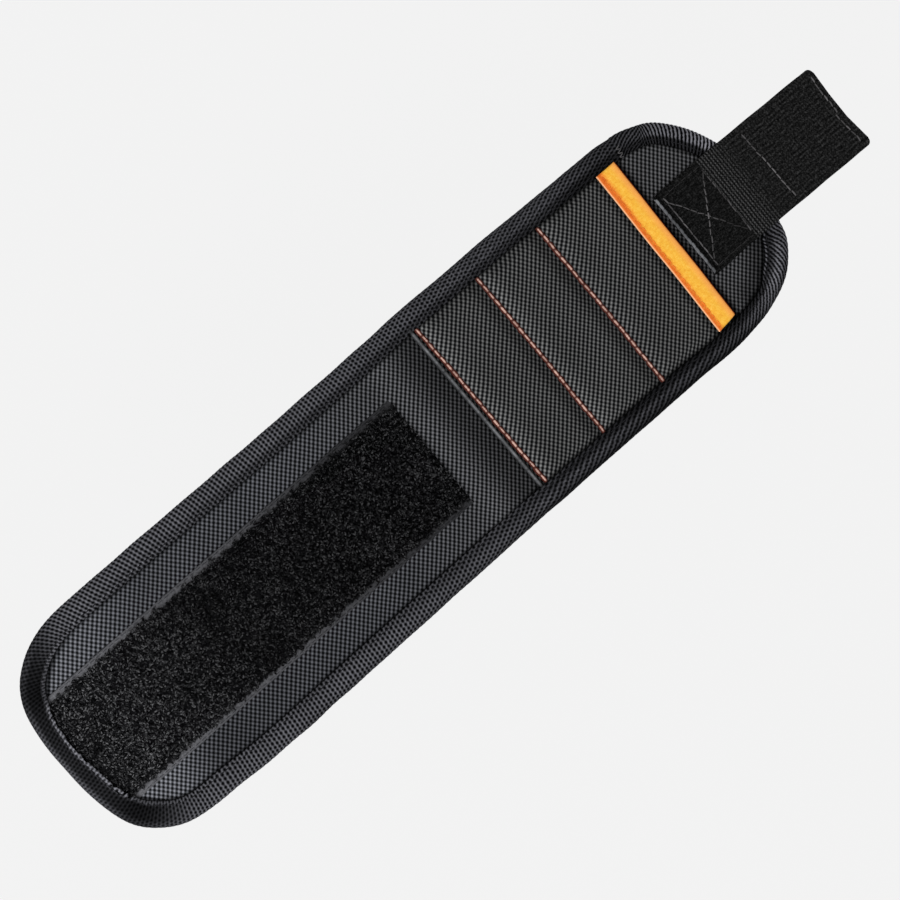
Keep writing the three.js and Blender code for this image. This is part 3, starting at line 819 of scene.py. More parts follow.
def tape_tone(x, y, into, leg):
    """Light and shade across the upper face: a lit roll outside, and shade on the slope down to the cloth."""
    f = into / leg
    left = smooth(-18, 18, y)
    right = 1 - left
    out = left * (1 - 0.14 * smooth(120, 160, x) - 0.16 * smooth(170, 212, x) - 0.26 * smooth(255, 285, x) + 0.75 * smooth(300, 312, x) + 0.7 * smooth(315, 322, x))
    out = out + right * (1 - 0.15 * smooth(110, 155, x) - 0.40 * smooth(155, 212, x) - 0.1 * smooth(215, 245, x) + 0.75 * smooth(278, 315, x))
    inn = left * (0.80 - 0.26 * smooth(32, 55, x) - 0.12 * smooth(110, 160, x) - 0.14 * smooth(165, 212, x) - 0.12 * smooth(255, 285, x))
    inn = inn + right * (0.92 - 0.32 * smooth(90, 157, x) - 0.35 * smooth(157, 212, x) - 0.08 * smooth(215, 245, x) + 0.30 * smooth(285, 315, x))
    m = smooth(0.52, 0.70, f) * (1 - right * smooth(285, 300, x)) + smooth(0.66, 0.84, f) * right * smooth(285, 300, x)
    t = out * (1 - m) + inn * m
    # Round the loop end the roll turns away from the light, and only the sewn lip is lit.
    end = 1 - left * smooth(12, 32, x) - right * smooth(6, 24, x)
    corner = hump(np.abs(y), 30, 9) * (1 - smooth(14, 26, x))
    t = t * (1 - end * 0.72 * smooth(0.14, 0.32, f) * (1 - smooth(0.78, 0.85, f)))
    t = t * (1 - 0.58 * corner * (1 - smooth(0.78, 0.84, f))) * (1 - 0.3 * corner * (1 - smooth(0.15, 0.35, f)))
    t = t + end * (2.9 + 1.3 * left) * hump(f, 0.89, 0.095) * (1 - smooth(19, 27, np.abs(y)))
    t = t * (1 + left * hump(x, 21, 9) * (1.1 * f - 0.5))
    t = t + 0.9 * right * smooth(316, 322, x) * (1 - smooth(0.10, 0.28, f))
    # Away from the light the lower side's edge is in shade.
    away = right * (0.36 * smooth(55, 80, x) + 0.36 * smooth(160, 200, x) - 0.36 * smooth(288, 302, x))
    t = t * (1 - away * (1 - smooth(0.16, 0.36, f))) * (1 - 0.3 * right * hump(x, 100, 40) * smooth(0.8, 0.88, f)) * (1 - 0.4 * right * smooth(205, 235, x) * smooth(0.78, 0.88, f))
    t = t + 0.22 * right * smooth(180, 205, x) * (1 - smooth(288, 300, x)) * hump(f, 0.57, 0.11)
    t = t * (1 - 0.45 * left * hump(x, 270, 16) * smooth(0.40, 0.55, f))
    t = t * (1 + left * smooth(188, 208, x) * (1 - smooth(262, 282, x)) * (0.7 * hump(f, 0.76, 0.05) - 0.35 * smooth(225, 245, x) * hump(f, 0.92, 0.05)))
    t = t * (1 + right * hump(x, 310, 6) * (0.55 * hump(f, 0.5, 0.2) - 0.5 * hump(f, 0.15, 0.08))) * (1 - 0.45 * right * smooth(318.5, 321.5, x) * smooth(0.15, 0.25, f))
    broad = right * smooth(305, 311, x) * (1 - smooth(-25, -20, y))
    t = t * (1 - 0.55 * broad * smooth(0.55, 0.66, f) * (1 - smooth(0.88, 0.92, f))) + 0.8 * broad * hump(f, 0.94, 0.03)
    t = t + 0.55 * left * smooth(28, 36, x) * (1 - smooth(80, 110, x)) * hump(f, 0.80, 0.08)
    return t * (1 - 0.72 * smooth(0.955, 0.99, f))


def tape(name, path, u, i, nodes):
    """Binding along a path in plan, whose inner side is on the path's left."""
    x, y = path[:, 0], path[:, 1]
    q = beside_pocket(x)[:, None, None]
    n = inwards(path)
    leg = leg_width(path)
    out = (1 - q) * PLAIN_OUT[None] + q * POCKET_OUT[None]
    normal = (1 - q) * PLAIN_N[None] + q * POCKET_N[None]
    back = (1 - q) * PLAIN_IN[None] + q * POCKET_IN[None]
    wide = ((leg - 3.0) / 5.3)[:, None]
    for part, upper in ((out, ON_TOP), (back, BACK_TOP)):
        into = part[..., 0]
        part[..., 0] = np.where(upper[None] & (into > 3), 3 + (into - 3) * wide, into)
    slant, ply = tape_lie(path)
    vv = np.broadcast_to(V_OUT[None], out.shape[:2])
    uu = u[:, None] + slant[:, None] * vv + 0.07 * ripple(u[:, None], vv, 21, 12)
    rib = -sum(ply[:, k : k + 1] * np.cos(2 * np.pi * (RIBS[k][0] * uu + RIBS[k][1] * vv)) for k in range(3))
    ends = smooth(0.3, 1.2, vv) * (1 - smooth(V_OUT[-1] - 1.2, V_OUT[-1] - 0.3, vv))
    push = 0.18 * rib * ends
    # Sewn down along the seam, in small dents from stitch to stitch.
    seam = hump(out[..., 0] * SEAM_IN / (leg[:, None] - 1.6), SEAM_IN, 0.7)
    push = push - seam * (0.20 + 0.07 * np.cos(2 * np.pi * u[:, None] / 2.6))
    # Slack between stitches.
    push = push + 0.045 * ripple(u[:, None], vv * 0.6, 23, 17) * smooth(0, 2, vv)
    # The overlapping end at the join makes a low step.
    past = (y > 0) * smooth(JOIN_X - 0.5, JOIN_X + 0.2, x) * (1 - smooth(JOIN_X + 5.0, JOIN_X + 12.0, x))
    push = push + 0.14 * past[:, None] * ends
    out = out + normal * push[..., None]
    cross = np.concatenate([out, back], 1)
    pos = np.empty(cross.shape[:2] + (3,))
    pos[..., :2] = path[:, None] + n[:, None] * cross[..., :1]
    pos[..., 2] = cross[..., 1]
    v_all = np.concatenate([V_OUT, np.linspace(V_OUT[-1], 0, len(PLAIN_IN))])
    uv = np.stack(np.broadcast_arrays(np.concatenate([uu, np.broadcast_to(u[:, None], back.shape[:2])], 1), v_all[None]), -1)
    high = smooth(2.2, 3.6, cross[..., 1])
    tone = 0.9 * (1 - high) + high * tape_tone(x[:, None], y[:, None], np.maximum(cross[..., 0], 0), leg[:, None])
    ply_all = np.broadcast_to(ply[:, None], cross.shape[:2] + (3,))
    ob = sweep(name, pos, uv, np.clip(tone, 0.06, 3), BINDING, sharp=80, ply=ply_all)
    bend(ob, i)
    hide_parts(*nodes)
    return ob


STEP = 0.36
PERIOD = 1 / 0.3175
# The whole rim is one run of tape, from the head along the left side, round the loop end and back.
RIM_S = lengths(RIM)
IS_LEFT = np.arange(len(RIM)) < len(outline(1))
TOTAL = RIM_S[-1]


def rim_part(start, end):
    """The rim between two lengths along it, and those lengths."""
    e = np.linspace(start, end, max(2, int(round((end - start) / STEP)) + 1))
    return np.stack([np.interp(e, RIM_S, RIM[:, k]) for k in range(2)], 1), e


def rim_at(x, left):
    """Length along the rim at which it passes x on one side."""
    part = np.flatnonzero(IS_LEFT) if left else np.flatnonzero(~IS_LEFT)
    order = part[np.argsort(RIM[part, 0])]
    return float(np.interp(x, RIM[order, 0], RIM_S[order]))


probe, _ = rim_part(rim_at(200, True), rim_at(180, True))
TURN = bool(inwards(probe)[5, 1] > 0)  # on the left side, inwards is towards -y


def run_tape(name, start, end, i, nodes):
    path, u = rim_part(start, end)
    if TURN:
        path, u = path[::-1], u[::-1]
    return tape(name, path, u, i, nodes)


run_tape("binding_cloth_loop_end", rim_at(CUTS[1], True), rim_at(CUTS[1], False), 0, ["binding_loop_end"])
for i in range(1, 6):
    run_tape(f"binding_cloth_left_{i + 1}", rim_at(CUTS[i + 1], True), rim_at(CUTS[i], True), i, [f"binding_left_{i + 1}"])
    run_tape(f"binding_cloth_right_{i + 1}", rim_at(CUTS[i], False), rim_at(CUTS[i + 1], False), i, [f"binding_right_{i + 1}"])
head_path = np.vstack([rim_part(rim_at(CUTS[6], False), TOTAL)[0], rim_part(0, rim_at(CUTS[6], True))[0][1:]])
# The yarns lie closer where the tape is eased round the head's corners.
mid_path = (head_path[1:] + head_path[:-1]) / 2
eased = np.where(mid_path[:, 1] < 0, smooth(272, 282, mid_path[:, 0]) * (1 - smooth(321, 324, mid_path[:, 0])), smooth(JOIN_X - 0.3, JOIN_X + 0.3, mid_path[:, 0]) * (1 - smooth(300, 304, mid_path[:, 0])))
head_u = np.concatenate([[0], np.cumsum(np.linalg.norm(np.diff(head_path, axis=0), axis=1) * (1 + 0.32 * eased))])
u0, u1 = rim_at(CUTS[6], False), rim_at(CUTS[6], True)
# The run closes on itself here, so the ribs are spaced a touch differently to meet.
want = u1 + PERIOD * round((u0 + head_u[-1] - u1) / PERIOD)
head_u = u0 + head_u / head_u[-1] * (want - u0)
if TURN:
    head_path, head_u = head_path[::-1], head_u[::-1]
tape("binding_cloth_head_end", head_path, head_u, 6, ["binding_left_7", "binding_right_7", "binding_head_end"])


# ---- stitches ---------------------------------------------------------------------------------------
def stitch_mesh(line, up, pitch, length, radius, material, sag=0.28, lift=0.0, sides=8, tone=1.0, flatten=0.75, jitter=0.0, seed=1, scallop=0.0, fade=0.0, dip=1.7):
    """A row of stitches on a line of points with their up directions; each thread dips into the cloth at both ends.
    tone is a number, or a function of the place along the row from 0 to 1."""
    s = lengths(line)
    count = max(1, int(s[-1] // pitch))
    first = (s[-1] - count * pitch) / 2
    rng = np.random.default_rng(seed)
    mid = first + (np.arange(count) + 0.5) * pitch
    t = np.linspace(-0.5, 0.5, 9)
    at = mid[:, None] + t[None] * length
    path = np.stack([np.interp(at, s, line[:, k]) for k in range(3)], -1)
    ups = np.stack([np.interp(at, s, up[:, k]) for k in range(3)], -1)
    ups /= np.linalg.norm(ups, axis=2, keepdims=True)
    along = np.gradient(path, axis=1)
    along /= np.linalg.norm(along, axis=2, keepdims=True)
    side = np.cross(along, ups)
    wave = 1 - (2 * np.abs(t)) ** 4
    path = path + ups * (lift + radius * flatten * 0.6 - (1 - wave)[None, :, None] * (radius * flatten * dip + sag))
    path = path + side * (scallop * (1 - 4 * t**2))[None, :, None]
    if jitter:
        path = path + side * (rng.normal(0, jitter, (count, 1, 1)) + rng.normal(0, jitter, (count, 1, 1)) * (2 * t)[None, :, None])
    r = radius * (0.80 + 0.25 * np.cos(np.pi * t))[None] * rng.uniform(0.9, 1.1, (count, 1))
    verts, polys, a = tubes(path, np.stack([r, r * flatten], -1), sides, ups)
    uv = np.empty(verts.shape[:3] + (2,))
    uv[..., 0] = at[:, :, None]
    uv[..., 1] = (a / (2 * np.pi))[None, None]
    shade = tone(mid / s[-1]) if callable(tone) else np.full(count, float(tone))
    # fade darkens each stitch towards both ends, where it dips into the cloth: painted shade.
    shade = (shade * rng.uniform(0.85, 1.1, count))[:, None] * (1 - fade * smooth(0.26, 0.45, np.abs(t)))[None]
    shade = np.broadcast_to(shade[:, :, None], verts.shape[:3])
    return verts.reshape(-1, 3), polys, uv.reshape(-1, 2), shade.ravel(), material


def join(name, rows, sharp=80):
    """Several rows of stitches as one object."""
    verts, uv, tone, polys, base = [], [], [], {}, 0
    for v, p, w, t, material in rows:
        verts.append(v), uv.append(w), tone.append(t)
        for q in p:
            polys.setdefault(q.shape[1], []).append(q + base)
        base += len(v)
    return make(name, np.vstack(verts), [np.vstack(p) for p in polys.values()], np.vstack(uv), np.concatenate(tone), rows[0][4], sharp)


def straight(a, b, step=0.5):
    a, b = np.array(a, float), np.array(b, float)
    n = max(2, int(np.linalg.norm(b - a) / step) + 1)
    return a + (b - a) * np.linspace(0, 1, n)[:, None]


def upright(line):
    return np.tile(UP, (len(line), 1))


def tape_top(p, into):
    """Height of the tape's upper face at a distance in from the edge, along a path."""
    q = beside_pocket(p[:, 0])
    scale = np.where(np.asarray(into) > 3, 3 + (into - 3) * 5.3 / (leg_width(p) - 3), into)
    plain = np.interp(scale, PLAIN_OUT[ON_TOP][::-1, 0], PLAIN_OUT[ON_TOP][::-1, 1])
    pocket = np.interp(scale, POCKET_OUT[ON_TOP][::-1, 0], POCKET_OUT[ON_TOP][::-1, 1])
    return (1 - q) * plain + q * pocket


def seam_line(start, end, face):
    """The binding's sewing line between two lengths along the rim, on its upper or lower face."""
    path, e = rim_part(start, end)
    n = inwards(path) * (-1 if TURN else 1)
    into = leg_width(path) - 1.6 if face > 0 else np.full(len(path), SEAM_IN)
    z = tape_top(path, into) - 0.24 if face > 0 else np.full(len(path), 0.22)
    return np.column_stack([path + n * into[:, None], z]), np.tile([0, 0, float(face)], (len(path), 1))


for i in range(7):
    rows = []
    if i == 0:
        parts = [(rim_at(CUTS[1], True), rim_at(CUTS[1], False))]
    elif i < 6:
        parts = [(rim_at(CUTS[i + 1], True), rim_at(CUTS[i], True)), (rim_at(CUTS[i], False), rim_at(CUTS[i + 1], False))]
    else:
        parts = [(rim_at(CUTS[6], False), TOTAL - 22.5), (18.0, rim_at(CUTS[6], True))]
    for s0, s1 in parts:
        for face in (1, -1):
            line, up = seam_line(s0, s1, face)
            rows.append(stitch_mesh(line, up, 2.6, 2.25, 0.22, DARK_THREAD, sag=0.10, sides=6, seed=100 + i, tone=0.6 if face > 0 else 1.6))
    ob = join(f"binding_stitches_{i + 1}", rows)
    bend(ob, i)

# Zigzag sewing over the join of the tape's two ends.
base = rim_at(JOIN_X, True)
path, e = rim_part(base - 3.2, base + 3.2)
n = inwards(path) * (-1 if TURN else 1)
rows = []
for k, (along, into) in enumerate([(-0.9, 3.4), (0.9, 4.2), (-0.9, 5.0), (0.9, 5.8), (-0.9, 6.6), (0.9, 7.4)]):
    ends = []
    for a, d in ((along, into), (-along, into + 0.8)):
        at = np.array([[np.interp(base + a, e, path[:, c]) for c in range(2)]])
        nn = np.array([[np.interp(base + a, e, n[:, c]) for c in range(2)]])
        ends.append(np.array([*(at + nn * d)[0], float(tape_top(at, np.array([d]))[0]) + 0.34]))
    line = straight(ends[0], ends[1], 0.25)
    rows.append(stitch_mesh(line, upright(line), 1.9, 1.8, 0.19, GREY_THREAD, sag=0.12, sides=6, seed=150 + k, tone=0.55))
ob = join("binding_join_stitches", rows)
bend(ob, 6)

# ---- loop field ---------------------------------------------------------------------------------------
field_tip, field_up, field_low = inset_sides(6.9)
rng = np.random.default_rng(7)
for i in range(3):
    x0, x1 = max(CUTS[i], field_tip[0] + 0.15), min(CUTS[i + 1], FIELD_END)
    t = np.linspace(0, 1, int(round((x1 - x0) / 0.6)) + 1)
    xs = x0 + (x1 - x0) * (t**1.25 if i == 0 else t)
    lo, hi = np.maximum(field_low(xs), -FIELD_HALF), np.minimum(field_up(xs), FIELD_HALF)
    rows = np.linspace(0, 1, 97)
    y = lo[:, None] + (hi - lo)[:, None] * rows[None]
    x = np.broadcast_to(xs[:, None], y.shape)
    pile = (1 - smooth(21.6, 22.8, np.abs(y))) * (1 - smooth(168.3, 169.0, x))
    z = 4.30 + pile * (0.45 + 0.16 * ripple(x, y, 31, 2.6, 24) + 0.12 * ripple(x, y, 32, 6.5)) + 0.10 * smooth(22.0, 23.0, np.abs(y)) * (1 - smooth(23.3, 24.0, np.abs(y)))
    top = np.stack([x, y, z], -1)
    under = np.stack([x[:, [-1, 48, 0]], y[:, [-1, 48, 0]], np.full((len(xs), 3), SHELL_TOP + 0.05)], -1)
    loops = np.concatenate([top, under], 1)
    n, leg = edge_place(loops[..., 0], loops[..., 1])
    # Painted light and shade: the ground is lighter towards the lit loop end and darker towards the pocket, with
    # painted shade beside the binding and along its outer rims.
    tone = (1.1 + 0.5 * (1 - smooth(15, 70, loops[..., 0])) - 0.72 * smooth(70, 150, loops[..., 0])) * (1 - 0.9 * (1 - smooth(leg + 0.1, leg + 1.4, n))) * (1 - 0.3 * smooth(23.4, 23.9, np.abs(loops[..., 1])))
    ob = sweep(f"loop_ground_{i + 1}", loops, loops[..., :2], tone, GROUND, sharp=70)
    bend(ob, i)
    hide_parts(*(["loop_tape_1"], ["loop_tape_2"], ["loop_tape_3", "loop_tape_4"])[i])

    # The pile: small arched loops that lean every way.
    for side, sign in (("left", 1), ("right", -1)):
        count = int((x1 - x0) * 23.0 * 2.6)
        px = rng.uniform(xs[0] + 0.3, xs[-1] - 0.2, count)
        py = sign * rng.uniform(0, 22.0, count)
        py = np.clip(py + rng.normal(0, 0.45, count), -23.4, 23.4)
        n, leg = edge_place(px, py)
        keep = n > leg + 0.3
        px, py, n, leg = px[keep], py[keep], n[keep], leg[keep]
        count = len(px)
        angle = rng.uniform(0, 2 * np.pi, count)
        span = rng.uniform(0.4, 0.9, count)
        tall = rng.uniform(0.45, 1.0, count)
        lean = rng.normal(0, 0.32, (count, 2))
        t = np.linspace(0, 1, 5)
        arch = np.sin(np.pi * t) ** 0.8
        swell = np.cos(np.pi * t) * (1 + 0.5 * arch)
        cx, cy = np.cos(angle), np.sin(angle)
        path = np.empty((count, 5, 3))
        path[..., 0] = px[:, None] - cx[:, None] * span[:, None] * swell / 2 + lean[:, :1] * arch
        path[..., 1] = py[:, None] - cy[:, None] * span[:, None] * swell / 2 + lean[:, 1:] * arch
        path[..., 2] = 4.5 + tall[:, None] * arch + 0.12 * ripple(px, py, 33, 5.0)[:, None]
        path[..., 0] = np.clip(path[..., 0], xs[0] + 0.1, xs[-1] + 0.25)
        ref = np.stack([-cy, cx, np.zeros(count)], 1)
        r = rng.uniform(0.23, 0.35, (count, 1)) * np.array([0.8, 1.05, 1.15, 1.05, 0.8])[None]
        verts, polys, a = tubes(path, r, 3, ref)
        own = rng.uniform(0, 0.999, count)
        uv = np.empty(verts.shape[:3] + (2,))
        uv[..., 0] = own[:, None, None] + np.arange(count)[:, None, None] % 37
        uv[..., 1] = t[None, :, None]
        # Painted light and shade: loops are lighter towards the loop end, on taller loops and at their tops, and darker
        # at their feet and beside the binding.
        lit = (0.98 + 1.30 * (1 - smooth(30, 78, px)) + 0.10 * ripple(px, py, 35, 22)) * (0.45 + 0.55 * smooth(leg + 0.4, leg + 2.2, n))
        tone = np.broadcast_to((0.2 + 0.9 * arch**1.5)[None, :, None] * (lit * (0.55 + 0.6 * tall))[:, None, None], verts.shape[:3])
        pile_ob = make(f"loop_pile_{side}_{i + 1}", verts.reshape(-1, 3), polys, uv.reshape(-1, 2), np.clip(tone, 0.03, 4).ravel(), PILE, sharp=180)
        bend(pile_ob, i)

# Sewing of the loop field along its sides; the thread is painted lighter towards the lit loop end.
for i in range(3):
    rows = []
    for s in (-1, 1):
        line = straight((16.0 if i == 0 else CUTS[i], s * 23.3, 4.42), (min(CUTS[i + 1], FIELD_END - 0.8), s * 23.3, 4.42))
        rows.append(stitch_mesh(line, upright(line), 2.8, 2.4, 0.11, DARK_THREAD, sag=0.06, sides=6, seed=300 + i, tone=lambda q: 2.6 - 1.9 * smooth(30, 130, line[0, 0] + q * (line[-1, 0] - line[0, 0]))))
    ob = join(f"loop_stitches_{i + 1}", rows)
    bend(ob, i)


# ---- pocket ---------------------------------------------------------------------------------------------
def leaning(place, y):
    return place[0] + place[1] * y


def front_uv(x, y):
    return np.stack([1.037 * x + 0.10 * ripple(x, y, 6, 30), 0.040 * x + y + 0.10 * ripple(x, y, 8, 30)], -1)


def pocket_height(x, y):
    """Upper face of the pocket front: crowned over the magnet rows, drawn down along each seam and to the bindings."""
    z = 7.55 + 0.10 * ripple(x, y, 41, 34) * (1 - smooth(262, 276, x))
    for place, depth, reach in zip(SEAMS, (2.2, 1.45, 1.45), (8.5, 6.4, 6.4)):
        d = np.abs(x - leaning(place, y))
        z = z - depth * (1 - smooth(0, reach, d)) ** 1.25
        # Small puckers that the stitches draw in the cloth beside the seam.
        z = z + 0.11 * np.cos(2 * np.pi * y / 3.0) * np.exp(-d / 1.6) * (1 - np.exp(-d / 0.35))
    z = z - 1.72 * smooth(265.5, 277.0, x)
    # The turned-in edge: a narrow roll, then a ditch up to the first seam.
    into = x - leaning(PANEL_EDGE, y)
    gap = leaning(SEAMS[0], y) - leaning(PANEL_EDGE, y)
    roll = np.interp(into / gap, [0, 0.05, 0.13, 0.26, 0.38, 0.5, 0.72, 1.0], [4.5, 5.35, 5.8, 5.85, 5.6, 5.28, 5.2, 5.35])
    z = np.where(into < gap, roll, z)
    low = np.minimum(z, 5.42)
    return z + (low - z) * smooth(32.4, 37.0, np.abs(y))


def pocket_tone(x, y):
    # Painted light and shade: a shaded slope before each seam, a painted sheen just after it and a dark line on it; a
    # painted highlight on the crest of the rolled edge with shade around it; painted shade under the trim at the mouth
    # and beside the bindings, deeper on the lower side.
    t = np.ones_like(x)
    for place, sheen in zip(SEAMS, (1.0, 0.85, 0.45)):
        d = x - leaning(place, y)
        t = t - 0.32 * hump(d, -3.0, 3.0) * (d < 0) + sheen * (0.55 * hump(d, 1.7, 1.2) + 0.22 * hump(d, 3.4, 2.2)) * (d > 0) - 0.72 * hump(d, 0, 0.95)
    into = x - leaning(PANEL_EDGE, y)
    edge = smooth(0.0, 0.4, into) * (1 - smooth(0.7, 1.2, into))
    t = np.where(into < 2.3, 0.30 + edge * (0.50 + 0.12 * ripple(y, 0 * y, 44, 9) + 0.20 * ripple(y, 0 * y, 45, 1.6)), t)
    t = t * (1 - 0.5 * smooth(274.0, 277.2, x))
    n, leg = edge_place(x, y)
    low = smooth(0, -20, y)
    t = t * (1 - (0.8 + 0.12 * low) * (1 - smooth(leg - 0.2, leg + 1.2 + 0.9 * low, n)))
    return np.clip(t, 0.06, 2.6)


PANEL_ROWS = np.linspace(-38.4, 38.4, 197)
EDGE_STEPS = np.array([0, 0.1, 0.22, 0.36, 0.52, 0.7, 0.9, 1.13, 1.27, 1.5, 1.8, 2.1, 2.4])
spans = [(PANEL_EDGE[0], CUTS[4]), (CUTS[4], CUTS[5]), (CUTS[5], MOUTH[0]), (MOUTH[0], 284.8)]
for j, (x0, x1) in enumerate(spans):
    xs = np.linspace(x0, x1, int(round((x1 - x0) / 0.4)) + 1)
    if j == 0:
        xs = np.concatenate([x0 + EDGE_STEPS, np.linspace(x0 + 2.7, x1, int(round((x1 - x0 - 2.7) / 0.4)) + 1)])
    y = np.broadcast_to(PANEL_ROWS[None], (len(xs), len(PANEL_ROWS)))
    x = np.broadcast_to(xs[:, None], y.shape)
    if j == 0:
        x = x1 - (x1 - x) * (x1 - leaning(PANEL_EDGE, y)) / (x1 - x0)
    uv = front_uv(x, y)
    if j == 0:
        # The cut edge is rolled under, so its crest shows one yarn along its length.
        uv = np.where((x - leaning(PANEL_EDGE, y) < 1.2)[..., None], 0.0, uv)
    z = pocket_height(x, y)
    z = z + 0.10 * weave(uv) * smooth(2.4, 3.2, x - leaning(PANEL_EDGE, y)) * (1 - smooth(276.0, 277.5, x))
    top = np.stack([x, y, z], -1)
    mid = len(PANEL_ROWS) // 2
    pick = [-1, -10, -24, mid, 24, 10, 0]
    below = z[:, pick] - 0.62
    if j == 0:
        below = np.where(x[:, pick] - leaning(PANEL_EDGE, y[:, pick]) < 1.2, 3.82, below)
    under = np.stack([x[:, pick], y[:, pick], below], -1)
    loops = np.concatenate([top, under], 1)
    ob = sweep(f"pocket_cloth_{j + 1}", loops, np.concatenate([uv, uv[:, pick]], 1), pocket_tone(loops[..., 0], loops[..., 1]), FRONT, sharp=75)
    if j < 3:
        bend(ob, 3 + j)
        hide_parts(f"pocket_front_{j + 1}")
    else:
        weigh(ob, mouth_weight(band_x(ob)))
        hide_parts("pocket_mouth_panel")

    # Inner cloth behind the magnets.
    b0, b1 = x0 + (2.4 if j == 0 else 0), min(x1, 278.6)
    xs = np.linspace(b0, b1, max(4, int((b1 - b0) / 1.5)))
    ys = np.linspace(-38.2, 38.2, 41)
    y = np.broadcast_to(ys[None], (len(xs), 41))
    x = np.broadcast_to(xs[:, None], y.shape)
    z = 4.50 + 0.03 * ripple(x, y, 61, 20)
    loops = np.concatenate([np.stack([x, y, z], -1), np.stack([x[:, ::-5], y[:, ::-5], z[:, ::-5] - 0.42], -1)], 1)
    ob = sweep(f"backing_cloth_{j + 1}", loops, loops[..., :2], 1.0, BACKING)
    if j < 3:
        bend(ob, 3 + j)
        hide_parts(f"pocket_backing_{j + 1}")
    else:
        weigh(ob, mouth_weight(band_x(ob)))

    # The contrasting seams across the front.
    if j < 3:
        ys = np.arange((-36.3, -37.2, -37.9)[j], (38.0, 38.0, 37.3)[j], 0.4)
        xx = leaning(SEAMS[j], ys) + 0.10 * np.sin(ys / 9.0 + j)
        line = np.column_stack([xx, ys, pocket_height(xx, ys)])
        ob = join(f"pocket_seam_{j + 1}", [stitch_mesh(line, upright(line), 3.3, 3.5, 0.84, ROW_THREAD, sag=0.04, lift=-0.04, sides=22, flatten=0.40, jitter=0.05, seed=400 + j, tone=lambda q: 0.80 + 0.14 * np.cos(31 * q + j), fade=0.85, dip=0.7)])
        bend(ob, 3 + j)

# ---- trim on the pocket's mouth: a tape folded over the panel's edge -------------------------------------------
TRIM_OUT = spline([(0.0, 5.98), (0.10, 6.40), (0.8, 6.60), (1.7, 6.50), (2.4, 6.42), (3.4, 6.56), (5.8, 6.74), (7.65, 6.56), (8.46, 6.12), (8.76, 5.6), (9.10, 5.05), (8.75, 4.70), (7.65, 4.62), (5.0, 4.60), (2.4, 4.62), (1.0, 4.66), (0.7, 4.92)], 64)
TRIM_IN = np.array([(0.85, 5.18), (3.0, 5.20), (6.0, 5.20), (7.2, 5.28), (7.8, 5.55), (7.3, 5.86), (5.6, 6.02), (3.0, 5.86), (1.2, 5.94), (0.2, 5.94)])
ys = np.concatenate([TRIM_ENDS[0] + np.array([0, 0.15, 0.4, 0.8]), np.linspace(TRIM_ENDS[0] + 1.2, TRIM_ENDS[1] - 1.2, 176), TRIM_ENDS[1] - np.array([0.8, 0.4, 0.15, 0])])
out = np.broadcast_to(TRIM_OUT[None], (len(ys), 64, 2)).copy()
on_top = (np.arange(64) < TRIM_OUT[:, 0].argmax())[None]
dent = hump(out[..., 0], 1.75, 0.5) * on_top
out[..., 1] -= dent * (0.16 + 0.08 * np.cos(2 * np.pi * ys[:, None] / 2.9))
out[..., 1] += 0.035 * ripple(out[..., 0], ys[:, None] + 0 * out[..., 0], 72, 6) * on_top * smooth(0.4, 1.2, out[..., 0])
inner = np.broadcast_to(TRIM_IN[None], (len(ys), len(TRIM_IN), 2))
cross = np.concatenate([out, inner], 1)
close = np.minimum(ys - TRIM_ENDS[0], TRIM_ENDS[1] - ys)
cross[..., 1] = 5.55 + (cross[..., 1] - 5.55) * (0.90 + 0.10 * smooth(0, 0.8, close))[:, None]
x = TRIM[0] + cross[..., 0] + 0.05 * ripple(ys, 0 * ys, 71, 40)[:, None]
# Its lower end is cut a little askew.
y = ys[:, None] + (0.25 + 0.13 * cross[..., 0]) * (1 - smooth(0, 12, ys - TRIM_ENDS[0]))[:, None]
loops = np.stack([x, y, cross[..., 1]], -1)
uv = np.stack([TRIM[0] + cross[..., 0], loops[..., 1]], -1)
# Painted shade: the tape is darker close to both ends, where it meets the bindings.
tone = 1 - 0.25 * (1 - smooth(0, 0.7, close))[:, None] * (cross[..., 0] > 0.5)
trim = sweep("trim_tape", loops, uv, tone, ORANGE, sharp=75)
weigh(trim, mouth_weight(band_x(trim)))
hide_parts("pocket_trim")

yy = np.arange(TRIM_ENDS[0] + 1.4, TRIM_ENDS[1] - 0.6, 0.4)
line = np.column_stack([np.full(len(yy), TRIM[0] + 1.4), yy, np.full(len(yy), 6.34)])
ob = join("trim_stitches", [stitch_mesh(line, upright(line), 2.9, 2.75, 0.19, TRIM_THREAD, sag=0.05, sides=8, jitter=0.08, seed=451, scallop=0.42)])
weigh(ob, mouth_weight(band_x(ob)))


# ---- closure tab ------------------------------------------------------------------------------------------
def tab_place(local, droop):
    """Points given from the tab's bend line, along it, across it and up, in band coordinates. The webbing is cut a little askew."""
    p = np.array(local, float)
    c, s = math.cos(TAB_DROOP), math.sin(TAB_DROOP)
    t, y = p[..., 0].copy(), p[..., 1].copy()
    t = t - y * (0.049 + 0.037 * smooth(-10, 5, t))
    p[..., 1] = y + 0.25 - 0.013 * np.maximum(p[..., 0], 0) - 0.030 * np.maximum(-8 - p[..., 0], 0)
    z = p[..., 2].copy()
    p[..., 0] = (1 - droop) * t + droop * (c * t + s * z)
    p[..., 2] = (1 - droop) * z + droop * (-s * t + c * z)
    c, s = math.cos(TAB_YAW), math.sin(TAB_YAW)
    x, y = p[..., 0].copy(), p[..., 1].copy()
    p[..., 0], p[..., 1] = c * x - s * y, s * x + c * y
    return p + TAB_PIVOT


def strap_mid(t):
    """Height of the middle of the webbing over the bend line's level, along the sewn part."""
    on_shell = SHELL_TOP + 0.95 - TAB_PIVOT[2]
    return on_shell + (0.0 - on_shell) * smooth(-20.5, -8.5, t)


STRAP_END = -35.7


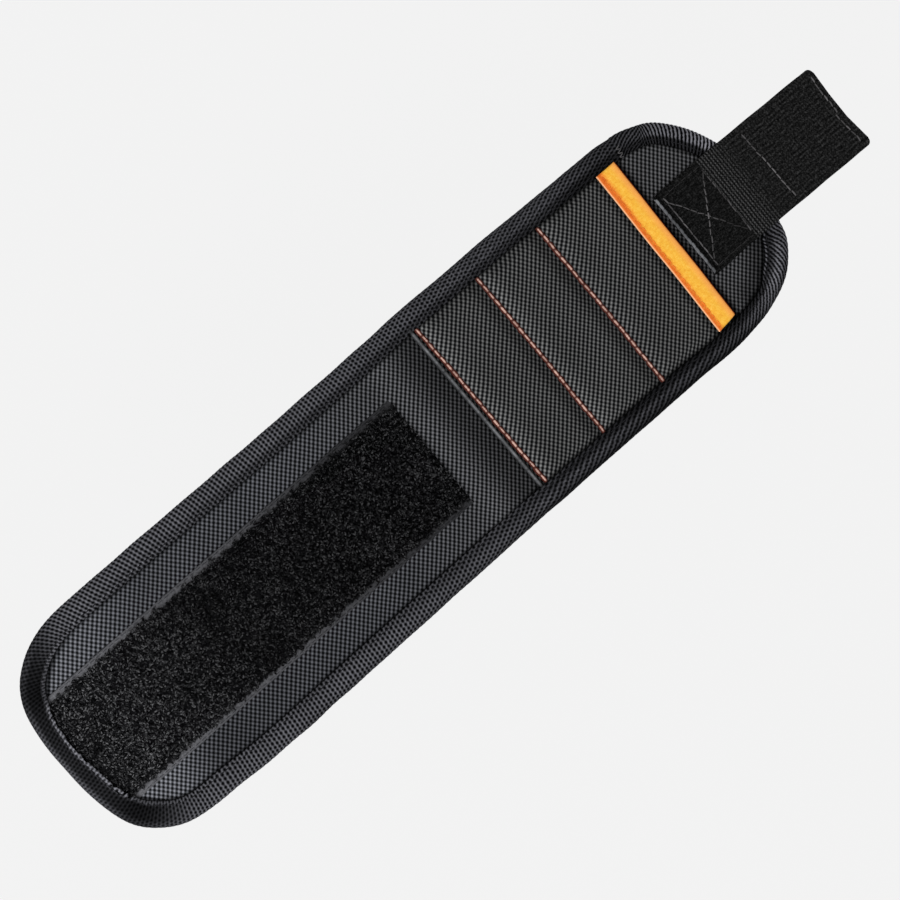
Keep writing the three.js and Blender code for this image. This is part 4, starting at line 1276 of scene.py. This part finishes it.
def strap_piece(name, t0, t1, step=0.3):
    ts = np.linspace(t0, t1, int((t1 - t0) / step) + 1)
    free = t1 > TAB_FREE - 1
    half = np.full(len(ts), STRAP_W / 2) - 0.06 * np.cos(ts / 3.1)
    if free:
        r = 2.0
        d = np.clip((ts - (TAB_FREE - r)) / r, 0, 1)
        half = half - r * (1 - np.sqrt(np.clip(1 - d**2, 0, 1)))
    m = 96
    w = np.linspace(-1, 1, m)
    y = half[:, None] * w[None]
    t = np.broadcast_to(ts[:, None], y.shape).copy()
    if free:
        t = t - 1.5 * np.clip(1 - np.abs(y + 1.5) / (STRAP_W / 2 + 1.5), 0, 1) ** 1.2 * smooth(TAB_FREE - 10, TAB_FREE, t)
    edge = np.clip((1 - np.abs(w)) * STRAP_W / 2, 0, None)[None]
    thick = STRAP_T / 2 * np.clip(edge / 0.55, 0, 1) ** 0.5
    ribbed = smooth(-15.4, -14.4, t) * (1 - 0.75 * smooth(-9.5, 0.0, t))
    ribs = 0.08 * np.cos(2 * np.pi * 0.836 * (t + TAB_PIVOT[0])) * (0.2 + 0.8 * ribbed)
    ribs = ribs + 0.035 * ripple(t * 0.25, y, 83, 1.7) * (1 - 0.6 * ribbed)
    rise = np.where(t < 0, strap_mid(t), 0.0)
    wave = 0.06 * ripple(t, y, 81, 16)
    selvedge = 0.12 * hump(edge, 1.0, 0.7)
    hem = 0.28 * smooth(TAB_FREE - 6.0, TAB_FREE - 5.2, t) if free else 0.0
    first = 0.40 * (1 - smooth(-33.2, -32.6, t))
    up = rise + thick + (ribs + selvedge) * np.clip(edge / 0.8, 0, 1) + wave * np.clip(edge / 2, 0, 1) + first + hem
    down = rise - thick
    droop = smooth(-3.0, 4.0, t)
    top = tab_place(np.stack([t, y, up], -1), droop)
    pick = np.linspace(m - 1, 0, 9).round().astype(int)
    low = tab_place(np.stack([t[:, pick], y[:, pick], down[:, pick]], -1), droop[:, pick])
    loops = np.concatenate([top, low[:, 1:-1]], 1)
    uv = np.concatenate([np.stack([t, y], -1), np.stack([t[:, pick], y[:, pick]], -1)[:, 1:-1]], 1) + TAB_PIVOT[None, None, :2]
    shade = np.ones(loops.shape[:2])
    shade[:, :m] *= 0.80 * (1 + 0.62 * ribbed) * (1 - 0.25 * (1 - smooth(-15.4, -14.4, t)))
    shade[:, :m] *= 1 - 0.6 * hump(t, -34.2, 0.5)
    return sweep(name, loops, uv, shade, STRAP, sharp=75), t1 - t0


JOIN_T = -12.6
anchor, run = strap_piece("strap_sewn", STRAP_END, JOIN_T)
bend(anchor, 6)
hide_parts("tab_strap_anchor")

tab, run = strap_piece("strap_tab", JOIN_T, TAB_FREE)
co = band_x(tab)
direction = np.array([math.cos(TAB_YAW), math.sin(TAB_YAW)])
along = (co[:, :2] - TAB_PIVOT[:2]) @ direction
weigh(tab, smooth(-5.0, 5.4, along))
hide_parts("tab_strap_free")


def tab_line(a, b, up_shift, droop):
    """A sewing line on the webbing between two points given as (along, across)."""
    n = max(2, int(math.dist(a, b) / 0.4) + 1)
    t = np.linspace(a[0], b[0], n)
    y = np.linspace(a[1], b[1], n)
    rise = np.where(t < 0, strap_mid(t), 0.0) + STRAP_T / 2 + up_shift
    p = tab_place(np.stack([t, y, rise], -1), np.full(n, float(droop)))
    return p, upright(p)


BOX = (-32.9, -15.2, 14.0)
corner = lambda i, s: (BOX[i], s * BOX[2])
rows = []
for k, (a, b, raised, radius, tone) in enumerate((
    ((BOX[0], 16.2), (BOX[0], -16.4), 0.42, 0.27, lambda q: 0.50 + 0.2 * np.cos(17 * q)),
    ((BOX[1], 15.8), (BOX[1], -15.8), 0.06, 0.27, lambda q: 0.16 + 0.30 * np.cos(9 * q + 1) ** 2),
    (corner(0, 1), corner(1, -1), 0.06, 0.25, lambda q: 0.42 - 0.28 * smooth(0.5, 0.75, q)),
    (corner(0, -1), corner(1, 1), 0.08, 0.27, lambda q: 0.26 + 0.46 * hump(q, 0.52, 0.26)),
    ((BOX[0], 16.0), (BOX[1], 16.0), 0.06, 0.15, 0.15),
    ((BOX[0], -16.0), (BOX[1], -16.0), 0.06, 0.15, 0.15),
)):
    line, up = tab_line(a, b, raised, 0)
    rows.append(stitch_mesh(line, up, 2.9, 2.65, radius, GREY_THREAD, sag=0.10, sides=8, jitter=0.10, seed=501 + k, tone=tone, flatten=0.6))
ob = join("strap_box_stitches", rows)
bend(ob, 6)

# The cut end of the webbing is bound with a close row of pale thread.
line, up = tab_line((STRAP_END + 0.2, 17.9), (STRAP_END + 0.2, -17.9), 0.10, 0)
ob = join("strap_end_thread", [stitch_mesh(line, up, 2.3, 2.5, 0.56, PALE_THREAD, sag=-0.10, lift=0.10, sides=10, flatten=0.7, jitter=0.07, seed=520, tone=lambda q: 0.44 + 0.14 * np.cos(9 * q) - 0.08 * q)])
bend(ob, 6)

rows = []
for k, (a, b, shift, tone) in enumerate((
    ((5.0, 15.8), (5.2, -15.9), 0.06, lambda q: 0.62 + 0.2 * np.cos(7 * q + 2)),
    ((39.6, 15.6), (38.7, -1.8), 0.34, lambda q: 0.55 + 0.18 * np.cos(11 * q)),
    ((37.6, -1.0), (38.5, -15.4), 0.34, lambda q: 0.48 + 0.18 * np.cos(13 * q)),
)):
    line, up = tab_line(a, b, shift, 1)
    rows.append(stitch_mesh(line, up, 2.8, 2.5, 0.29, GREY_THREAD, sag=0.10, sides=8, jitter=0.12, seed=530 + k, tone=tone, flatten=0.6))
ob = join("tab_stitches", rows)
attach(ob, "closure_tab")

# Hook tape under the tab: a backing with rows of bent hooks.
t0, t1, hw = 5.6, TAB_FREE - 2.2, 16.6
ts, m = np.linspace(t0, t1, 60), 41
w = np.linspace(-1, 1, m)
y = np.broadcast_to(hw * w[None], (60, m))
t = np.broadcast_to(ts[:, None], y.shape)
edge = np.clip((1 - np.abs(w)) * hw, 0, None)[None] + 0 * t
z_low = -STRAP_T / 2 - 0.95 + 0.25 * (1 - np.clip(edge / 0.6, 0, 1)) + 0.03 * ripple(t, y, 91, 5)
top = tab_place(np.stack([t, y, np.full(t.shape, -STRAP_T / 2 - 0.04)], -1)[:, ::5], 1.0)
low = tab_place(np.stack([t, y, z_low], -1), 1.0)
loops = np.concatenate([low, top[:, ::-1]], 1)
uv = np.concatenate([np.stack([t, y], -1), np.stack([t, y], -1)[:, ::5][:, ::-1]], 1)
hook = sweep("hook_ground", loops, uv, 0.9, HOOKS)
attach(hook, "closure_tab")
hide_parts("tab_hook_tape")

ht, hy = np.meshgrid(np.arange(t0 + 1.2, t1 - 0.8, 1.35), np.arange(-hw + 1.6, hw - 1.4, 1.25), indexing="ij")
ht, hy = ht.ravel(), hy.ravel()
flip = np.where((np.round(hy / 1.25).astype(int) % 2) == 0, 1.0, -1.0)
shape_t = np.array([0.0, 0.02, 0.10, 0.32, 0.56, 0.62])
shape_z = np.array([0.0, 0.32, 0.60, 0.74, 0.62, 0.42])
path = np.empty((len(ht), 6, 3))
path[..., 0] = ht[:, None] + flip[:, None] * shape_t[None]
path[..., 1] = hy[:, None]
path[..., 2] = -STRAP_T / 2 - 0.85 - shape_z[None]
path = tab_place(path, 1.0)
r = np.broadcast_to(np.array([0.19, 0.16, 0.14, 0.13, 0.12, 0.10])[None], path.shape[:2])
verts, polys, a = tubes(path, r, 5, np.tile([-math.sin(TAB_YAW), math.cos(TAB_YAW), 0.0], (len(ht), 1)))
uv = np.stack(np.broadcast_arrays(ht[:, None, None] + 0 * verts[..., 0], hy[:, None, None] + 0 * verts[..., 0]), -1)
hooks = make("hook_rows", verts.reshape(-1, 3), polys, uv.reshape(-1, 2), 1.2, HOOKS, sharp=80)
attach(hooks, "closure_tab")

# ---- magnets: the construction's own discs with a plated finish ----------------------------------------------
for name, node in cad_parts.items():
    if name.startswith("magnet_"):
        node.data.materials.clear()
        node.data.materials.append(METAL)

# ---- floor, light and camera ------------------------------------------------------------------------------
FLOOR_Z = -0.115  # below the lowest point that the closed band reaches
floor_mesh = bpy.data.meshes.new("floor")
floor_mesh.from_pydata([(-30, -30, FLOOR_Z), (30, -30, FLOOR_Z), (30, 30, FLOOR_Z), (-30, 30, FLOOR_Z)], [], [(0, 1, 2, 3)])
floor = bpy.data.objects.new("floor", floor_mesh)
scene.collection.objects.link(floor)
pale = Look("floor_pale", 1.0, 0.0)
pale.set("Base Color", (0.02, 0.02, 0.02, 1))
pale.set("Emission Color", (0.868, 0.868, 0.868, 1))
pale.set("Emission Strength", 1.0)
floor_mesh.materials.append(pale.mat)
floor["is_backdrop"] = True

world = bpy.data.worlds.new("studio")
scene.world = world
world.use_nodes = True
world.node_tree.nodes["Background"].inputs[0].default_value = (0.868, 0.868, 0.868, 1)
world.node_tree.nodes["Background"].inputs[1].default_value = 1.0


def area_light(name, at, size, watts, colour=(1, 1, 1)):
    light = bpy.data.lights.new(name, "AREA")
    light.shape = "DISK"
    light.size = size
    light.energy = watts
    light.color = colour
    ob = bpy.data.objects.new(name, light)
    scene.collection.objects.link(ob)
    ob.location = at
    ob.rotation_mode = "QUATERNION"
    ob.rotation_quaternion = (-Vector(at)).to_track_quat("-Z", "Y")
    return ob


area_light("key", (-0.95, -0.25, 0.75), 0.5, 9.0, (0.96, 0.98, 1.0))

rx, ry, rz = 0.05287639484516432, 0.22701120542061165, 0.702330566847926
shift = Vector((-10.416857807257694, -2.8166383731487334, -908.4526864493398))
turn_view = Matrix.Rotation(rx, 3, "X") @ Matrix.Rotation(ry, 3, "Y") @ Matrix.Rotation(rz, 3, "Z")
eye = turn_view.transposed() @ (-shift) - Vector((18.417, 0, 0))
camera_data = bpy.data.cameras.new("camera")
camera_data.sensor_width = 36
camera_data.angle = math.radians(20)
camera_data.clip_start, camera_data.clip_end = 0.01, 100
camera = bpy.data.objects.new("camera", camera_data)
scene.collection.objects.link(camera)
camera.matrix_world = Matrix.Translation(eye * 0.001) @ turn_view.transposed().to_4x4()
scene.camera = camera
scene.view_settings.view_transform = "Standard"
scene.view_settings.look = "None"

low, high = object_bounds()
